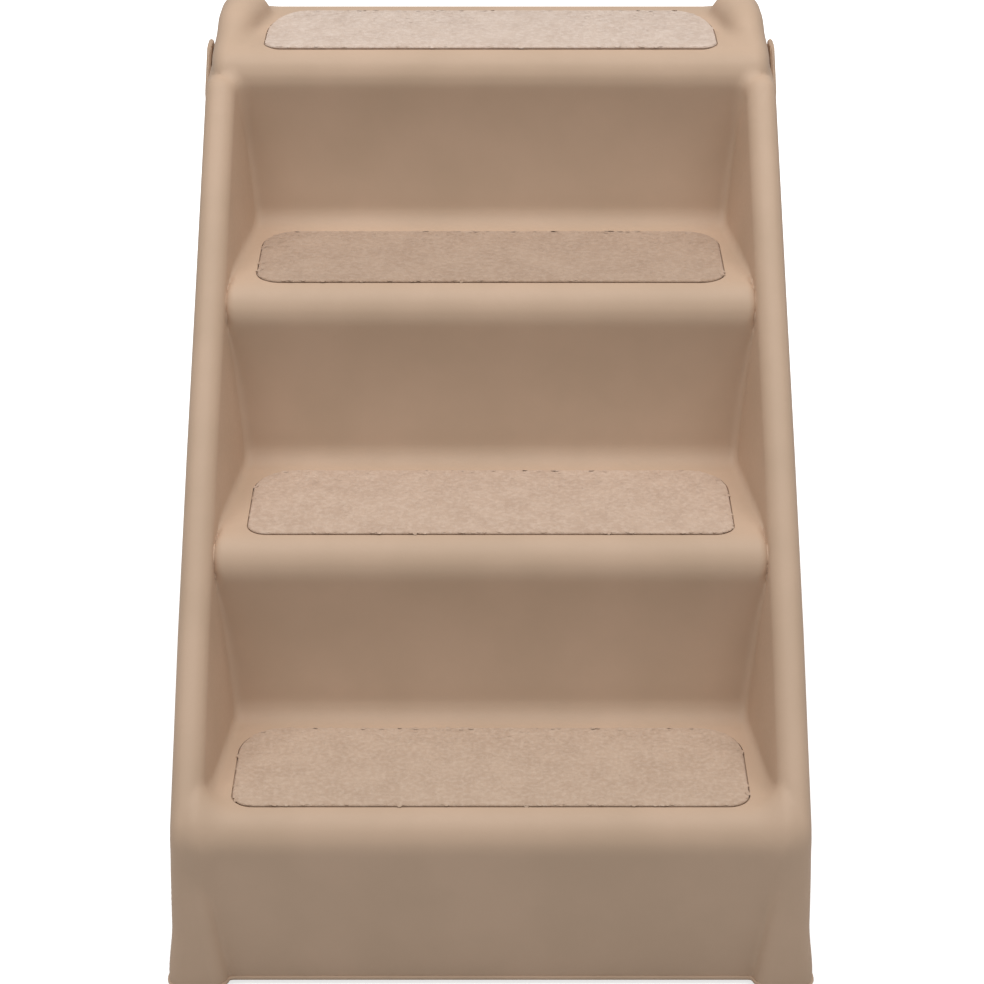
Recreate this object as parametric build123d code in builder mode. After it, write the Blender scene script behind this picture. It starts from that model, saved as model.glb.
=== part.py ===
from build123d import *
import os
from math import atan, atan2, cos, degrees, pi, sin, tan

# Four-step folding pet stairs: a hollow moulded stair body with carpeted treads,
# and two side panels that stand under its rails and fold flat beneath it.
# Millimetres, +Z up, climbing towards +Y, origin at the centre of the footprint on the floor.

# Driving sizes of the flight
step_count = 4
run = 139.7
riser = 120.5
first_riser_extra = 3.0
platform_depth = 125.0
leg_rake = 57.0

# Stair body
band_half_width = 202.6
crest_inset = 2.0
land_proud = 1.7
land_height = 10.0
land_thickness = 4.0
land_front_height = 34.0
slot_depth = 10.0
rail_width = 19.0
rail_round = 9.3
well_taper = 15.0
crest_proud = 3.0
nosing_radius = 22.0
corner_radius = 12.0
riser_sweep = 8.0
riser_knee = 62.0
riser_bow = 250.0
back_skin_depth = 12.0
apron_gap = 5.5
apron_recess = 5.0
apron_lip_radius = 2.0
front_round = 8.0
platform_inset = 10.6
platform_block_height = 44.0
platform_rear_round = 7.0
platform_corner_round = 10.0
rail_top_drop = 13.0
band_top_drop = 18.0
cut_overrun = 60.0

# Shoulders beside the platform
shoulder_height = 19.0
shoulder_start = 12.0
shoulder_climb = 52.0
shoulder_fall = 26.0
shoulder_front_width = 17.0
shoulder_rear_width = 28.0
shoulder_round = 6.0

# Channels pressed into the flat underside
channel_count = 4
channel_rows = 2
channel_width = 26.0
channel_length = 220.0
channel_depth = 7.0
channel_pitch_across = 80.0
channel_pitch_along = 270.0
channel_middle_distance = 285.0

# Carpets
carpet_side_margin = 42.6
first_carpet_extra = 7.4
carpet_length = 94.5
carpet_corner = 20.0
carpet_thickness = 3.0
carpet_recess = 1.4
carpet_clearance = 0.4
carpet_setback = 23.0
carpet_edge_bevel = 0.8

# Side panels
panel_thickness = 17.5
panel_front_height = 32.0
panel_lip_thickness = 3.4
panel_lip_overlap = 20.0
panel_lip_gap = 0.3
panel_lip_round = 8.0
ear_top_drop = 17.5
panel_front_round = 8.0
panel_rear_round = 14.0
panel_top_round = 12.0
panel_field_margin = 22.0
panel_outer_recess = 3.0
panel_inner_recess = 8.0
panel_field_round = 14.0
rib_width = 4.0
rib_pitch = 70.0
front_foot_length = 70.0
rear_foot_length = 130.0
arch_height = 26.0
arch_splay = 14.0
arch_round = 12.0
top_edge_drop = 9.5

# Hinges
pin_radius = 2.5
knuckle_radius = 6.5
left_hinge_drop = 7.0
fold_clearance = 0.5
lug_length = 14.0
panel_knuckle_length = 26.0
knuckle_side_gap = 0.4
pin_running_clearance = 0.1
pin_seat_clearance = 0.02
pin_head_radius = 4.6
pin_head_height = 2.0
pin_tail = 4.0
retainer_radius = 5.0
retainer_thickness = 1.2
hinge_start_distance = 100.0
hinge_pitch = 215.0
hinge_count = 3

# Rubber feet
foot_height = 3.0
foot_width = 13.0
foot_end_inset = 9.0
foot_plug_radius = 2.6
foot_plug_height = 7.0
foot_plug_clearance = 0.1
foot_plug_inset = 14.0
foot_corner = 4.0
body_foot_length = 24.0
body_foot_width = 10.0
body_foot_setback = 9.5
body_foot_inset = 17.6

# Derived places
first_tread_height = riser + first_riser_extra
crest_half_width = band_half_width - crest_inset
land_half_width = band_half_width + land_proud
platform_half_width = band_half_width - platform_inset
carpet_width = 2 * (band_half_width - carpet_side_margin)
carpet_widths = [carpet_width + first_carpet_extra] + [carpet_width] * (step_count - 1)
body_foot_lateral = band_half_width - body_foot_inset
platform_height = first_tread_height + (step_count - 1) * riser
rail_top_height = platform_height - rail_top_drop
band_top_height = platform_height - band_top_drop
ear_top_height = platform_height - ear_top_drop
flight_length = (step_count - 1) * run + platform_depth
rake_share = leg_rake / band_top_height
heel_share = 1 / tan((pi / 2 - atan(rake_share)) / 2) - 1
rear_end = flight_length + leg_rake - foot_height * rake_share - panel_rear_round * heel_share
centre_y = rear_end / 2
slope = atan2(riser, run)
along_y = cos(slope)
along_z = sin(slope)
crest_reach = nosing_radius + crest_proud
crest_y = nosing_radius - crest_reach * along_z
crest_z = first_tread_height - nosing_radius + crest_reach * along_y
corner_depth = crest_reach + (run - nosing_radius) * along_z - nosing_radius * along_y
under_depth = corner_depth + back_skin_depth
crest_inner = crest_half_width - rail_width
well_slant = well_taper / corner_depth
axis_lateral = band_half_width + fold_clearance - knuckle_radius
panel_outer = land_half_width + panel_lip_gap + panel_lip_thickness
panel_inner = panel_outer - panel_thickness
inner_reach = axis_lateral - panel_inner
outer_reach = panel_outer - axis_lateral
right_hinge_drop = left_hinge_drop + outer_reach + inner_reach + fold_clearance
flight_span = flight_length / along_y


def on_flight(along, depth):
    """(y, z) of a place that far up the crest line and that deep below it."""
    y = crest_y + along * along_y + depth * along_z - centre_y
    z = crest_z + along * along_z - depth * along_y
    return (y, z)


def at(y, z):
    """(y, z) of a place measured back from the lowest nosing and up from the floor."""
    return (y - centre_y, z)


def height_at_depth(y, depth):
    """Height where the line that deep below the crest passes y back from the nosing."""
    return crest_z + (y - crest_y - depth * along_z) * along_z / along_y - depth * along_y


def y_at_depth(z, depth):
    """Distance back from the nosing where the line that deep below the crest has height z."""
    return crest_y + depth * along_z + (z - crest_z + depth * along_y) * along_y / along_z


def cross_plane(along):
    """Plane square to the slope: local x is across the stairs, local y is out of the slope."""
    y, z = on_flight(along, 0)
    return Plane(origin=(0, y, z), x_dir=(1, 0, 0), z_dir=(0, -along_y, -along_z))


def slope_plane(depth):
    """Plane parallel to the slope: local x is across the stairs, local y is up the slope."""
    y, z = on_flight(0, depth)
    return Plane(origin=(0, y, z), x_dir=(1, 0, 0), z_dir=(0, -along_z, along_y))


# Outline of the flight: apron, nosings, treads, risers, platform, rear face and flat underside
flight_points = [at(apron_recess, apron_gap)]
flight_radii = [apron_lip_radius]
for step in range(step_count):
    tread = first_tread_height + step * riser
    flight_points.append(at(step * run, tread))
    flight_radii.append(nosing_radius)
    if step < step_count - 1:
        flight_points.append(at((step + 1) * run - riser_sweep, tread))
        flight_radii.append(corner_radius)
        flight_points.append(at((step + 1) * run, tread + riser_knee))
        flight_radii.append(riser_bow)
flight_points.append(at(flight_length, platform_height))
flight_radii.append(platform_rear_round)
flight_points.append(at(flight_length, height_at_depth(flight_length, under_depth)))
flight_radii.append(apron_lip_radius)
flight_points.append(at(y_at_depth(apron_gap, under_depth), apron_gap))
flight_radii.append(apron_lip_radius)

with BuildPart() as flight:
    with BuildSketch(Plane.YZ):
        with BuildLine():
            FilletPolyline(*flight_points, radius=flight_radii, close=True)
        make_face()
    extrude(amount=crest_inner, both=True)

# One rail with its pillar, on the right: a rounded crest, a drafted well wall and an outer band
with BuildPart() as rail:
    with BuildSketch(cross_plane(-cut_overrun - crest_z)):
        with BuildLine():
            FilletPolyline(
                (crest_inner, 0),
                (crest_half_width, 0),
                (band_half_width, -under_depth),
                (crest_inner - under_depth * well_slant, -under_depth),
                radius=[rail_round, rail_round, 0, 0],
                close=True,
            )
        make_face()
    extrude(amount=-(flight_span + crest_z + cut_overrun + cut_overrun))
    with BuildSketch(Plane.YZ):
        with BuildLine():
            Polyline(
                at(0, foot_height),
                at(0, first_tread_height + cut_overrun),
                at(y_at_depth(rail_top_height, 0), rail_top_height),
                at(flight_length, band_top_height),
                at(flight_length, foot_height),
                close=True,
            )
        make_face()
    extrude(amount=land_half_width + cut_overrun, both=True, mode=Mode.INTERSECT)
    pillar_front = rail.faces().sort_by(Axis.Y)[0]
    fillet(pillar_front.edges().sort_by(Axis.Z)[1:], radius=front_round)

# Platform block, narrower than the rails, with rounded nosing ends
platform_base = platform_height - platform_block_height
with BuildPart() as platform_block:
    with BuildSketch(Plane.YZ):
        with BuildLine():
            FilletPolyline(
                at((step_count - 1) * run, platform_base),
                at((step_count - 1) * run, platform_height),
                at(flight_length, platform_height),
                at(flight_length, height_at_depth(flight_length, under_depth)),
                radius=[0, nosing_radius, platform_rear_round, 0],
                close=True,
            )
        make_face()
    extrude(amount=platform_half_width, both=True)
    block_sides = platform_block.faces().filter_by(Axis.X)
    block_base = block_sides.edges().filter_by(lambda edge: edge.center().Z < (platform_base + rail_top_height) / 2)
    block_ends = block_sides.edges() - block_base
    fillet(block_ends, radius=platform_corner_round)

# Right shoulder: a rounded ridge that climbs from the nosing and falls at the rear
shoulder_base = platform_height - nosing_radius / 2
shoulder_y = (step_count - 1) * run + shoulder_start
with BuildPart() as shoulder:
    with BuildSketch(Plane.YZ.offset(platform_half_width - shoulder_rear_width)):
        with BuildLine():
            FilletPolyline(
                at(shoulder_y, shoulder_base),
                at(shoulder_y + nosing_radius / 2, platform_height),
                at(shoulder_y + shoulder_climb, platform_height + shoulder_height),
                at(flight_length - shoulder_fall, platform_height + shoulder_height),
                at(flight_length - platform_rear_round / 2, platform_height - platform_rear_round),
                at(flight_length - platform_rear_round / 2, shoulder_base),
                radius=[0, nosing_radius, shoulder_climb, shoulder_fall / 2, 0, 0],
                close=True,
            )
        make_face()
    extrude(amount=shoulder_rear_width)
    with BuildSketch(Plane.XY.offset(shoulder_base)):
        with BuildLine():
            Polyline(
                (platform_half_width, at(shoulder_y, 0)[0]),
                (platform_half_width - shoulder_front_width, at(shoulder_y, 0)[0]),
                (platform_half_width - shoulder_rear_width, at(flight_length, 0)[0]),
                (platform_half_width, at(flight_length, 0)[0]),
                close=True,
            )
        make_face()
    extrude(amount=platform_block_height + shoulder_height, mode=Mode.INTERSECT)
    ridge_edges = shoulder.edges().filter_by(
        lambda edge: edge.center().Z > platform_height and abs(edge.tangent_at(0.5).X) < 0.5
    )
    fillet(ridge_edges, radius=shoulder_round)


def side_strip(side, upper_depth, lower_depth, inner, outer, low, high, rear):
    """A strip of wall along the slope between two depths, on one side of the stairs."""
    with BuildPart() as strip:
        with BuildSketch(Plane.YZ.offset(side * inner)):
            with BuildLine():
                Polyline(
                    at(y_at_depth(low, upper_depth), low),
                    at(y_at_depth(low, lower_depth), low),
                    at(y_at_depth(high, lower_depth), high),
                    at(y_at_depth(high, upper_depth), high),
                    close=True,
                )
            make_face()
        extrude(amount=side * (outer - inner))
        with BuildSketch(Plane.YZ):
            with BuildLine():
                Polyline(
                    at(0, low),
                    at(0, high),
                    at(rear, high),
                    at(rear, low),
                    close=True,
                )
            make_face()
        extrude(amount=panel_outer + cut_overrun, both=True, mode=Mode.INTERSECT)
    return strip.part


def hinge_alongs(index):
    """Places up the slope where one hinge's two lugs and the knuckle between them start."""
    middle = hinge_start_distance + index * hinge_pitch
    knuckle = middle - panel_knuckle_length / 2
    return (knuckle - knuckle_side_gap - lug_length, knuckle, middle + panel_knuckle_length / 2 + knuckle_side_gap)


def barrel(side, along, length, axis_depth, web_from, web_to, bore_radius):
    """A hinge barrel round the axis with a web to the wall that carries it, bored for the pin."""
    lateral = side * axis_lateral
    web_middle = -(web_from + web_to) / 2
    with BuildPart() as knuckle:
        with BuildSketch(cross_plane(along)):
            with Locations((lateral, -axis_depth)):
                Circle(knuckle_radius)
            with Locations((lateral, web_middle)):
                Rectangle(2 * knuckle_radius, abs(web_to - web_from))
            with Locations((lateral, -axis_depth)):
                Circle(bore_radius, mode=Mode.SUBTRACT)
        extrude(amount=-length)
    return knuckle.part


# The hinge axis on each side, below the flat underside; the right one lies a panel's thickness lower
hinge_drops = {-1: left_hinge_drop, 1: right_hinge_drop}
land_top = band_top_height - slot_depth

with BuildPart() as stair_body:
    add(flight.part)
    add(rail.part)
    mirror(rail.part, about=Plane.YZ)
    add(platform_block.part)
    add(shoulder.part)
    mirror(shoulder.part, about=Plane.YZ)
    for side in (-1, 1):
        axis_depth = under_depth + hinge_drops[side]
        land_low = axis_depth - left_hinge_drop
        add(
            side_strip(
                side,
                under_depth - land_height,
                land_low,
                land_half_width - land_thickness,
                land_half_width,
                land_front_height,
                land_top,
                flight_length,
            )
        )
        for hinge in range(hinge_count):
            first, _, last = hinge_alongs(hinge)
            for along in (first, last):
                add(
                    barrel(
                        side,
                        along,
                        lug_length,
                        axis_depth,
                        under_depth - land_thickness,
                        axis_depth,
                        pin_radius + pin_seat_clearance,
                    )
                )
    # Channels in the underside
    with BuildSketch(slope_plane(under_depth)):
        with Locations((0, channel_middle_distance)):
            with GridLocations(channel_pitch_across, channel_pitch_along, channel_count, channel_rows):
                SlotOverall(channel_length, channel_width, rotation=90)
    extrude(amount=channel_depth, mode=Mode.SUBTRACT)
    # Shallow seats for the carpets
    for step in range(step_count):
        seat_y = step * run + carpet_setback + carpet_length / 2
        seat_z = first_tread_height + step * riser - carpet_recess
        with BuildSketch(Plane.XY.offset(seat_z)):
            with Locations((0, at(seat_y, 0)[0])):
                RectangleRounded(
                    carpet_widths[step] + 2 * carpet_clearance,
                    carpet_length + 2 * carpet_clearance,
                    carpet_corner + carpet_clearance,
                )
        extrude(amount=carpet_recess + shoulder_height, mode=Mode.SUBTRACT)
    # Sockets for the plugs of the two rubber feet under the pillars
    with BuildSketch(Plane.XY.offset(foot_height)):
        with Locations(*[(side * body_foot_lateral, at(body_foot_setback, 0)[0]) for side in (-1, 1)]):
            Circle(foot_plug_radius + foot_plug_clearance)
    extrude(amount=foot_plug_height + foot_plug_clearance, mode=Mode.SUBTRACT)


def rake_y(z):
    """Distance back from the lowest nosing of the panels' leaning rear edge at height z."""
    return flight_length + leg_rake - z * rake_share


def edge_meets_rake(depth):
    """Height where the line that deep below the crest meets the panels' rear edge."""
    start = y_at_depth(0, depth)
    return (flight_length + leg_rake - start) / (along_y / along_z + rake_share)


def rounded_outline(points, radii, lateral, amount):
    """A plate in the side view, from one lateral place, with a radius at each corner."""
    with BuildPart() as plate:
        with BuildSketch(Plane.YZ.offset(lateral)):
            with BuildLine():
                FilletPolyline(*points, radius=radii, close=True)
            make_face()
        extrude(amount=amount)
    return plate.part


def make_panel(side):
    """Side panel: twin feet with an arch between, a framed field with ribs, a lip and knuckles."""
    axis_depth = under_depth + hinge_drops[side]
    edge_depth = axis_depth + top_edge_drop
    lip_depth = under_depth - panel_lip_overlap
    front_y = y_at_depth(panel_front_height, edge_depth)
    top_z = edge_meets_rake(edge_depth)
    arch_z = foot_height + arch_height
    rear_foot_y = rake_y(foot_height) - rear_foot_length
    inner, outer = side * panel_inner, side * panel_outer
    body = rounded_outline(
        [
            at(front_y, foot_height),
            at(front_y, panel_front_height),
            at(rake_y(top_z), top_z),
            at(rake_y(foot_height), foot_height),
            at(rear_foot_y, foot_height),
            at(rear_foot_y - arch_splay, arch_z),
            at(front_y + front_foot_length + arch_splay, arch_z),
            at(front_y + front_foot_length, foot_height),
        ],
        [
            panel_front_round,
            panel_front_round,
            panel_lip_round,
            panel_rear_round,
            panel_front_round,
            arch_round,
            arch_round,
            panel_front_round,
        ],
        inner,
        outer - inner,
    )
    lip_low = top_z - panel_top_round - panel_lip_round
    lip_start = (front_y - crest_y) * along_y + (panel_front_height - crest_z) * along_z + panel_front_round
    lip = rounded_outline(
        [
            on_flight(lip_start, edge_depth + land_thickness),
            on_flight(lip_start, lip_depth),
            at(y_at_depth(ear_top_height, lip_depth), ear_top_height),
            at(rake_y(ear_top_height), ear_top_height),
            at(rake_y(lip_low), lip_low),
        ],
        [0, panel_lip_round, panel_lip_round, panel_lip_round, 0],
        side * (panel_outer - panel_lip_thickness),
        side * panel_lip_thickness,
    )
    field_low = arch_z + panel_field_margin
    field_depth = edge_depth + panel_field_margin
    field_top = edge_meets_rake(field_depth) - panel_field_margin
    field_points = [
        at(y_at_depth(field_low, field_depth), field_low),
        at(y_at_depth(field_top, field_depth), field_top),
        at(rake_y(field_low) - panel_field_margin, field_low),
    ]
    field_radii = [panel_field_round, panel_field_round, panel_field_round]
    outer_field = rounded_outline(field_points, field_radii, outer, -side * panel_outer_recess)
    with BuildPart() as inner_field:
        add(rounded_outline(field_points, field_radii, inner, side * panel_inner_recess))
        # Upright stiffening ribs stay standing across the inner recess
        rib_count = int((rake_y(field_low) - y_at_depth(field_low, field_depth)) / rib_pitch)
        with BuildSketch(Plane.YZ.offset(inner)):
            for rib in range(1, rib_count + 1):
                rib_y = rake_y(field_low) - panel_field_margin - rib * rib_pitch
                with Locations(at(rib_y, field_low)):
                    Rectangle(rib_width, platform_height, align=(Align.CENTER, Align.MIN))
        extrude(amount=side * panel_inner_recess, mode=Mode.SUBTRACT)
    with BuildPart() as panel:
        add(body)
        add(lip)
        add(outer_field, mode=Mode.SUBTRACT)
        add(inner_field.part, mode=Mode.SUBTRACT)
        for hinge in range(hinge_count):
            _, along, _ = hinge_alongs(hinge)
            add(
                barrel(
                    side,
                    along,
                    panel_knuckle_length,
                    axis_depth,
                    axis_depth,
                    edge_depth + land_thickness,
                    pin_radius + pin_running_clearance,
                )
            )
        # Sockets for the plugs of the rubber feet
        with BuildSketch(Plane.XY.offset(foot_height)):
            with Locations(*foot_plug_places(side)):
                Circle(foot_plug_radius + foot_plug_clearance)
        extrude(amount=foot_plug_height + foot_plug_clearance, mode=Mode.SUBTRACT)
    return panel.part


def foot_spans(side):
    """Front and rear (start, end) of the two rubber feet under one panel."""
    front_y = y_at_depth(panel_front_height, under_depth + hinge_drops[side] + top_edge_drop)
    rear_y = rake_y(foot_height)
    front = (front_y + foot_end_inset, front_y + front_foot_length - foot_end_inset)
    rear = (rear_y - rear_foot_length + foot_end_inset, rear_y - panel_rear_round - foot_corner)
    return {"front": front, "rear": rear}


def foot_plug_places(side):
    """(x, y) of every plug under one panel."""
    lateral = side * (panel_inner + panel_outer) / 2
    places = []
    for start, end in foot_spans(side).values():
        places.append((lateral, at(start + foot_plug_inset, 0)[0]))
        places.append((lateral, at(end - foot_plug_inset, 0)[0]))
    return places


def rubber_foot(lateral, middle_y, width, length, plugs):
    """A flat rubber foot with plugs that press up into the plastic."""
    with BuildPart() as foot:
        with BuildSketch():
            with Locations((lateral, middle_y)):
                RectangleRounded(width, length, foot_corner)
        extrude(amount=foot_height)
        with BuildSketch(Plane.XY.offset(foot_height)):
            with Locations(*plugs):
                Circle(foot_plug_radius)
        extrude(amount=foot_plug_height)
    return foot.part


def hinge_pins(side):
    """The pins of one side: each passes lug, knuckle and lug, with its head at the lower end."""
    axis_depth = under_depth + hinge_drops[side]
    with BuildPart() as pins:
        for hinge in range(hinge_count):
            first, _, last = hinge_alongs(hinge)
            with BuildSketch(cross_plane(first - pin_head_height)):
                with Locations((side * axis_lateral, -axis_depth)):
                    Circle(pin_head_radius)
            extrude(amount=-pin_head_height)
            with BuildSketch(cross_plane(first)):
                with Locations((side * axis_lateral, -axis_depth)):
                    Circle(pin_radius)
            extrude(amount=-(last + lug_length + pin_tail - first))
    return pins.part


def pin_retainers(side):
    """Push-on retainers that hold the pins at their upper ends."""
    axis_depth = under_depth + hinge_drops[side]
    with BuildPart() as retainers:
        for hinge in range(hinge_count):
            _, _, last = hinge_alongs(hinge)
            with BuildSketch(cross_plane(last + lug_length)):
                with Locations((side * axis_lateral, -axis_depth)):
                    Circle(retainer_radius)
                    Circle(pin_radius + pin_seat_clearance, mode=Mode.SUBTRACT)
            extrude(amount=-retainer_thickness)
    return retainers.part


def carpet(step):
    """Carpet inlay of one tread, standing a little proud of its seat."""
    middle_y = step * run + carpet_setback + carpet_length / 2
    seat_z = first_tread_height + step * riser - carpet_recess
    with BuildPart() as pile:
        with BuildSketch(Plane.XY.offset(seat_z)):
            with Locations((0, at(middle_y, 0)[0])):
                RectangleRounded(carpet_widths[step], carpet_length, carpet_corner)
        extrude(amount=carpet_thickness)
        chamfer(pile.faces().sort_by(Axis.Z)[-1].edges(), length=carpet_edge_bevel)
    return pile.part


carpet_names = ["first_step_carpet", "second_step_carpet", "third_step_carpet", "platform_carpet"]
pieces = {"stair_body": stair_body.part}
for step in range(step_count):
    pieces[carpet_names[step]] = carpet(step)
for side, word in ((-1, "left"), (1, "right")):
    pieces[f"{word}_side_panel"] = make_panel(side)
    pieces[f"{word}_hinge_pins"] = hinge_pins(side)
    pieces[f"{word}_pin_retainers"] = pin_retainers(side)
    panel_middle = side * (panel_inner + panel_outer) / 2
    for end, (start, stop) in foot_spans(side).items():
        plugs = [place for place in foot_plug_places(side) if at(start, 0)[0] < place[1] < at(stop, 0)[0]]
        pieces[f"{word}_{end}_rubber_foot"] = rubber_foot(
            panel_middle, at((start + stop) / 2, 0)[0], foot_width, stop - start, plugs
        )
    pillar_place = (side * body_foot_lateral, at(body_foot_setback, 0)[0])
    pieces[f"{word}_pillar_rubber_foot"] = rubber_foot(
        pillar_place[0], pillar_place[1], body_foot_length, body_foot_width, [pillar_place]
    )

os.makedirs("parts", exist_ok=True)
for name, piece in pieces.items():
    piece.label = name
    export_step(piece, f"parts/{name}.step")
print("hinge axes", {side: (side * axis_lateral, on_flight(0, under_depth + hinge_drops[side])) for side in (-1, 1)})
print("slope degrees", degrees(slope))
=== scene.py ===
"""Folding pet stairs with four carpeted steps over the CAD frame: metres, +Z up, climbing +Y."""

import logging
import math
from dataclasses import dataclass, field
from enum import Enum
from typing import Callable, Sequence

import bmesh
import bpy
import numpy as np
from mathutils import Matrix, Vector


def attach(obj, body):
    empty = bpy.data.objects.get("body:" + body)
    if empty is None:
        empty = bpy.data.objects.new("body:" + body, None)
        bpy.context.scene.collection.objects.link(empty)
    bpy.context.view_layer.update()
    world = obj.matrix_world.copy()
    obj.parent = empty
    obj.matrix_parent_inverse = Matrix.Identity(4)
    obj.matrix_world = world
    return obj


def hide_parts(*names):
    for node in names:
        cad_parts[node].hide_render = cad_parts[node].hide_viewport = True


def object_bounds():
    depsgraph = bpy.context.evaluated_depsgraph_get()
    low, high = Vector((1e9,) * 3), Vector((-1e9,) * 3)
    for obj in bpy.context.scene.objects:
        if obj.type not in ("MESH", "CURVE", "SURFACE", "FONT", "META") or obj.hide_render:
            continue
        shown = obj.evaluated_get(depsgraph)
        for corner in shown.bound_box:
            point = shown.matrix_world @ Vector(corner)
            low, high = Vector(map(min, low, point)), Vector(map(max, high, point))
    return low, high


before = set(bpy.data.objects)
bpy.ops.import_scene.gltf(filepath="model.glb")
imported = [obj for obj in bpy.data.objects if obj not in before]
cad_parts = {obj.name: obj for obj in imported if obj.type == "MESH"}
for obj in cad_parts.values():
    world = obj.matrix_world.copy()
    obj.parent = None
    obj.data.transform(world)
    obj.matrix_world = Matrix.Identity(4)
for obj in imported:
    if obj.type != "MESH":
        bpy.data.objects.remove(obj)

CAD_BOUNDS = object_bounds()
MM = 0.001
LOG = logging.getLogger("pet_stairs")
UNIT = (0.0, 1.0)
WHITE = (1.0, 1.0, 1.0, 1.0)
# Edges that turn by more than this stay sharp
SMOOTH_DEG = 38.0
# Points on the half circle of a lug or knuckle
ARC_POINTS = 13
# Softened edges of blocks, in millimetres, where they turn by more than these degrees
EDGE_BEVEL = 0.6
BEVEL_FROM_DEG = 40.0
# Longest stage of a rounded corner
ARC_STEP_DEG = 9.0
ARC_STEP_MM = 3.0
# How a skin settles on its surface: steps, reach of a slope's samples, least square of a slope
SETTLE_STEPS = 5
NUDGE = 0.2
LEAST_SQUARE = 0.05
# Factors on red, green and blue for each carpet's pile: painted light and shade, lighter on the
# platform and darker on the third step
PAINTED_LIGHT_SHADES = {
    "first_step_carpet": (0.93, 0.905, 0.88),
    "second_step_carpet": (0.99, 0.965, 0.96),
    "third_step_carpet": (0.79, 0.735, 0.69),
    "platform_carpet": (1.115, 1.175, 1.28),
}
Points = list[tuple[float, float]]


class Side(Enum):
    """The two sides of the stairs, seen by someone about to climb them."""

    LEFT = -1
    RIGHT = 1

    @property
    def word(self) -> str:
        """The side's name as the CAD nodes spell it."""
        return self.name.lower()


class Body(str, Enum):
    """The three bodies that move against each other."""

    STAIRS = "stairs"
    LEFT_PANEL = "left_panel"
    RIGHT_PANEL = "right_panel"


PANEL_BODY = {Side.LEFT: Body.LEFT_PANEL, Side.RIGHT: Body.RIGHT_PANEL}


# Small helpers for nodes, colours and meshes


def linear(hex_colour: str) -> tuple[float, float, float, float]:
    """Turns an sRGB colour into the linear values that a shader works in.

    Args:
        hex_colour: Six hex digits, such as "c8ab94".

    Returns:
        Linear red, green and blue, and an alpha of 1.
    """
    parts = [int(hex_colour[place : place + 2], 16) / 255 for place in (0, 2, 4)]
    red, green, blue = [
        part / 12.92 if part <= 0.04045 else ((part + 0.055) / 1.055) ** 2.4 for part in parts
    ]
    return (red, green, blue, 1.0)


def pattern_scale(size_mm: float) -> float:
    """Texture scale in Object coordinates for features of that size in millimetres."""
    return 1 / (size_mm * MM)


def feed(tree: bpy.types.NodeTree, node: bpy.types.Node, values: dict) -> None:
    """Sets or links inputs of a node.

    Args:
        tree: The shader or geometry tree.
        node: The node.
        values: Input name or number, to a constant or to the socket that feeds it.
    """
    for key, value in values.items():
        if isinstance(value, bpy.types.NodeSocket):
            tree.links.new(value, node.inputs[key])
        else:
            node.inputs[key].default_value = value


def add_node(
    tree: bpy.types.NodeTree, kind: str, values: dict | None = None, **settings
) -> bpy.types.Node:
    """Adds a node, sets its properties, and sets or links its inputs.

    Args:
        tree: The shader or geometry tree.
        kind: Blender's type name of the node.
        values: Input name or number, to a constant or to the socket that feeds it.
        settings: Properties of the node itself.

    Returns:
        The new node.
    """
    node = tree.nodes.new(kind)
    for name, setting in settings.items():
        setattr(node, name, setting)
    feed(tree, node, values or {})
    return node


def started_material(name: str, sizes: tuple[float, ...], details: tuple[float, ...]) -> tuple:
    """Starts a material with noise patterns in Object coordinates.

    Args:
        name: Name of the material.
        sizes: Size of each pattern's features in millimetres.
        details: Detail of each pattern.

    Returns:
        The material, its tree, its shader and a list with the socket of each pattern.
    """
    material = bpy.data.materials.new(name)
    material.use_nodes = True
    tree = material.node_tree
    place = add_node(tree, "ShaderNodeTexCoord").outputs["Object"]
    patterns = []
    for size, detail in zip(sizes, details):
        values = {"Vector": place, "Scale": pattern_scale(size), "Detail": detail}
        patterns.append(add_node(tree, "ShaderNodeTexNoise", values).outputs[0])
    return material, tree, tree.nodes["Principled BSDF"], patterns


def mix_colour(tree: bpy.types.NodeTree, share, first, second) -> bpy.types.NodeSocket:
    """Mixes two colours.

    Args:
        tree: The shader tree.
        share: Factor from 0, all first, to 1, all second, as a number or a socket.
        first: Colour or socket.
        second: Colour or socket.

    Returns:
        The mixed colour's socket.
    """
    values = {0: share, 6: first, 7: second}
    return add_node(tree, "ShaderNodeMix", values, data_type="RGBA").outputs[2]


def ranged(
    tree: bpy.types.NodeTree,
    value: bpy.types.NodeSocket,
    span: tuple[float, float],
    to: tuple[float, float],
):
    """Maps a value from one range to another, held within it.

    Args:
        tree: The shader tree.
        value: Socket to map.
        span: Lowest and highest value that counts.
        to: What these become.

    Returns:
        The mapped value's socket.
    """
    values = {0: value, 1: span[0], 2: span[1], 3: to[0], 4: to[1]}
    return add_node(tree, "ShaderNodeMapRange", values).outputs[0]


def started_nodes(name: str, inputs: dict[str, str]) -> tuple:
    """Starts a tree of geometry nodes.

    Args:
        name: Name of the tree.
        inputs: Label of each input, and its kind.

    Returns:
        The tree, and the sockets that give its inputs.
    """
    tree = bpy.data.node_groups.new(name, "GeometryNodeTree")
    for label, kind in inputs.items():
        tree.interface.new_socket(label, in_out="INPUT", socket_type=f"NodeSocket{kind}")
    tree.interface.new_socket("Result", in_out="OUTPUT", socket_type="NodeSocketGeometry")
    return tree, add_node(tree, "NodeGroupInput").outputs


def finished_nodes(tree: bpy.types.NodeTree, geometry, finish) -> None:
    """Ends a tree of geometry nodes with real geometry in one finish.

    Args:
        tree: The tree.
        geometry: Socket of the geometry.
        finish: Socket of its material.
    """
    real = add_node(tree, "GeometryNodeRealizeInstances", {"Geometry": geometry}).outputs[0]
    values = {"Geometry": real, "Material": finish}
    dressed = add_node(tree, "GeometryNodeSetMaterial", values).outputs[0]
    add_node(tree, "NodeGroupOutput", {0: dressed})


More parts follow.
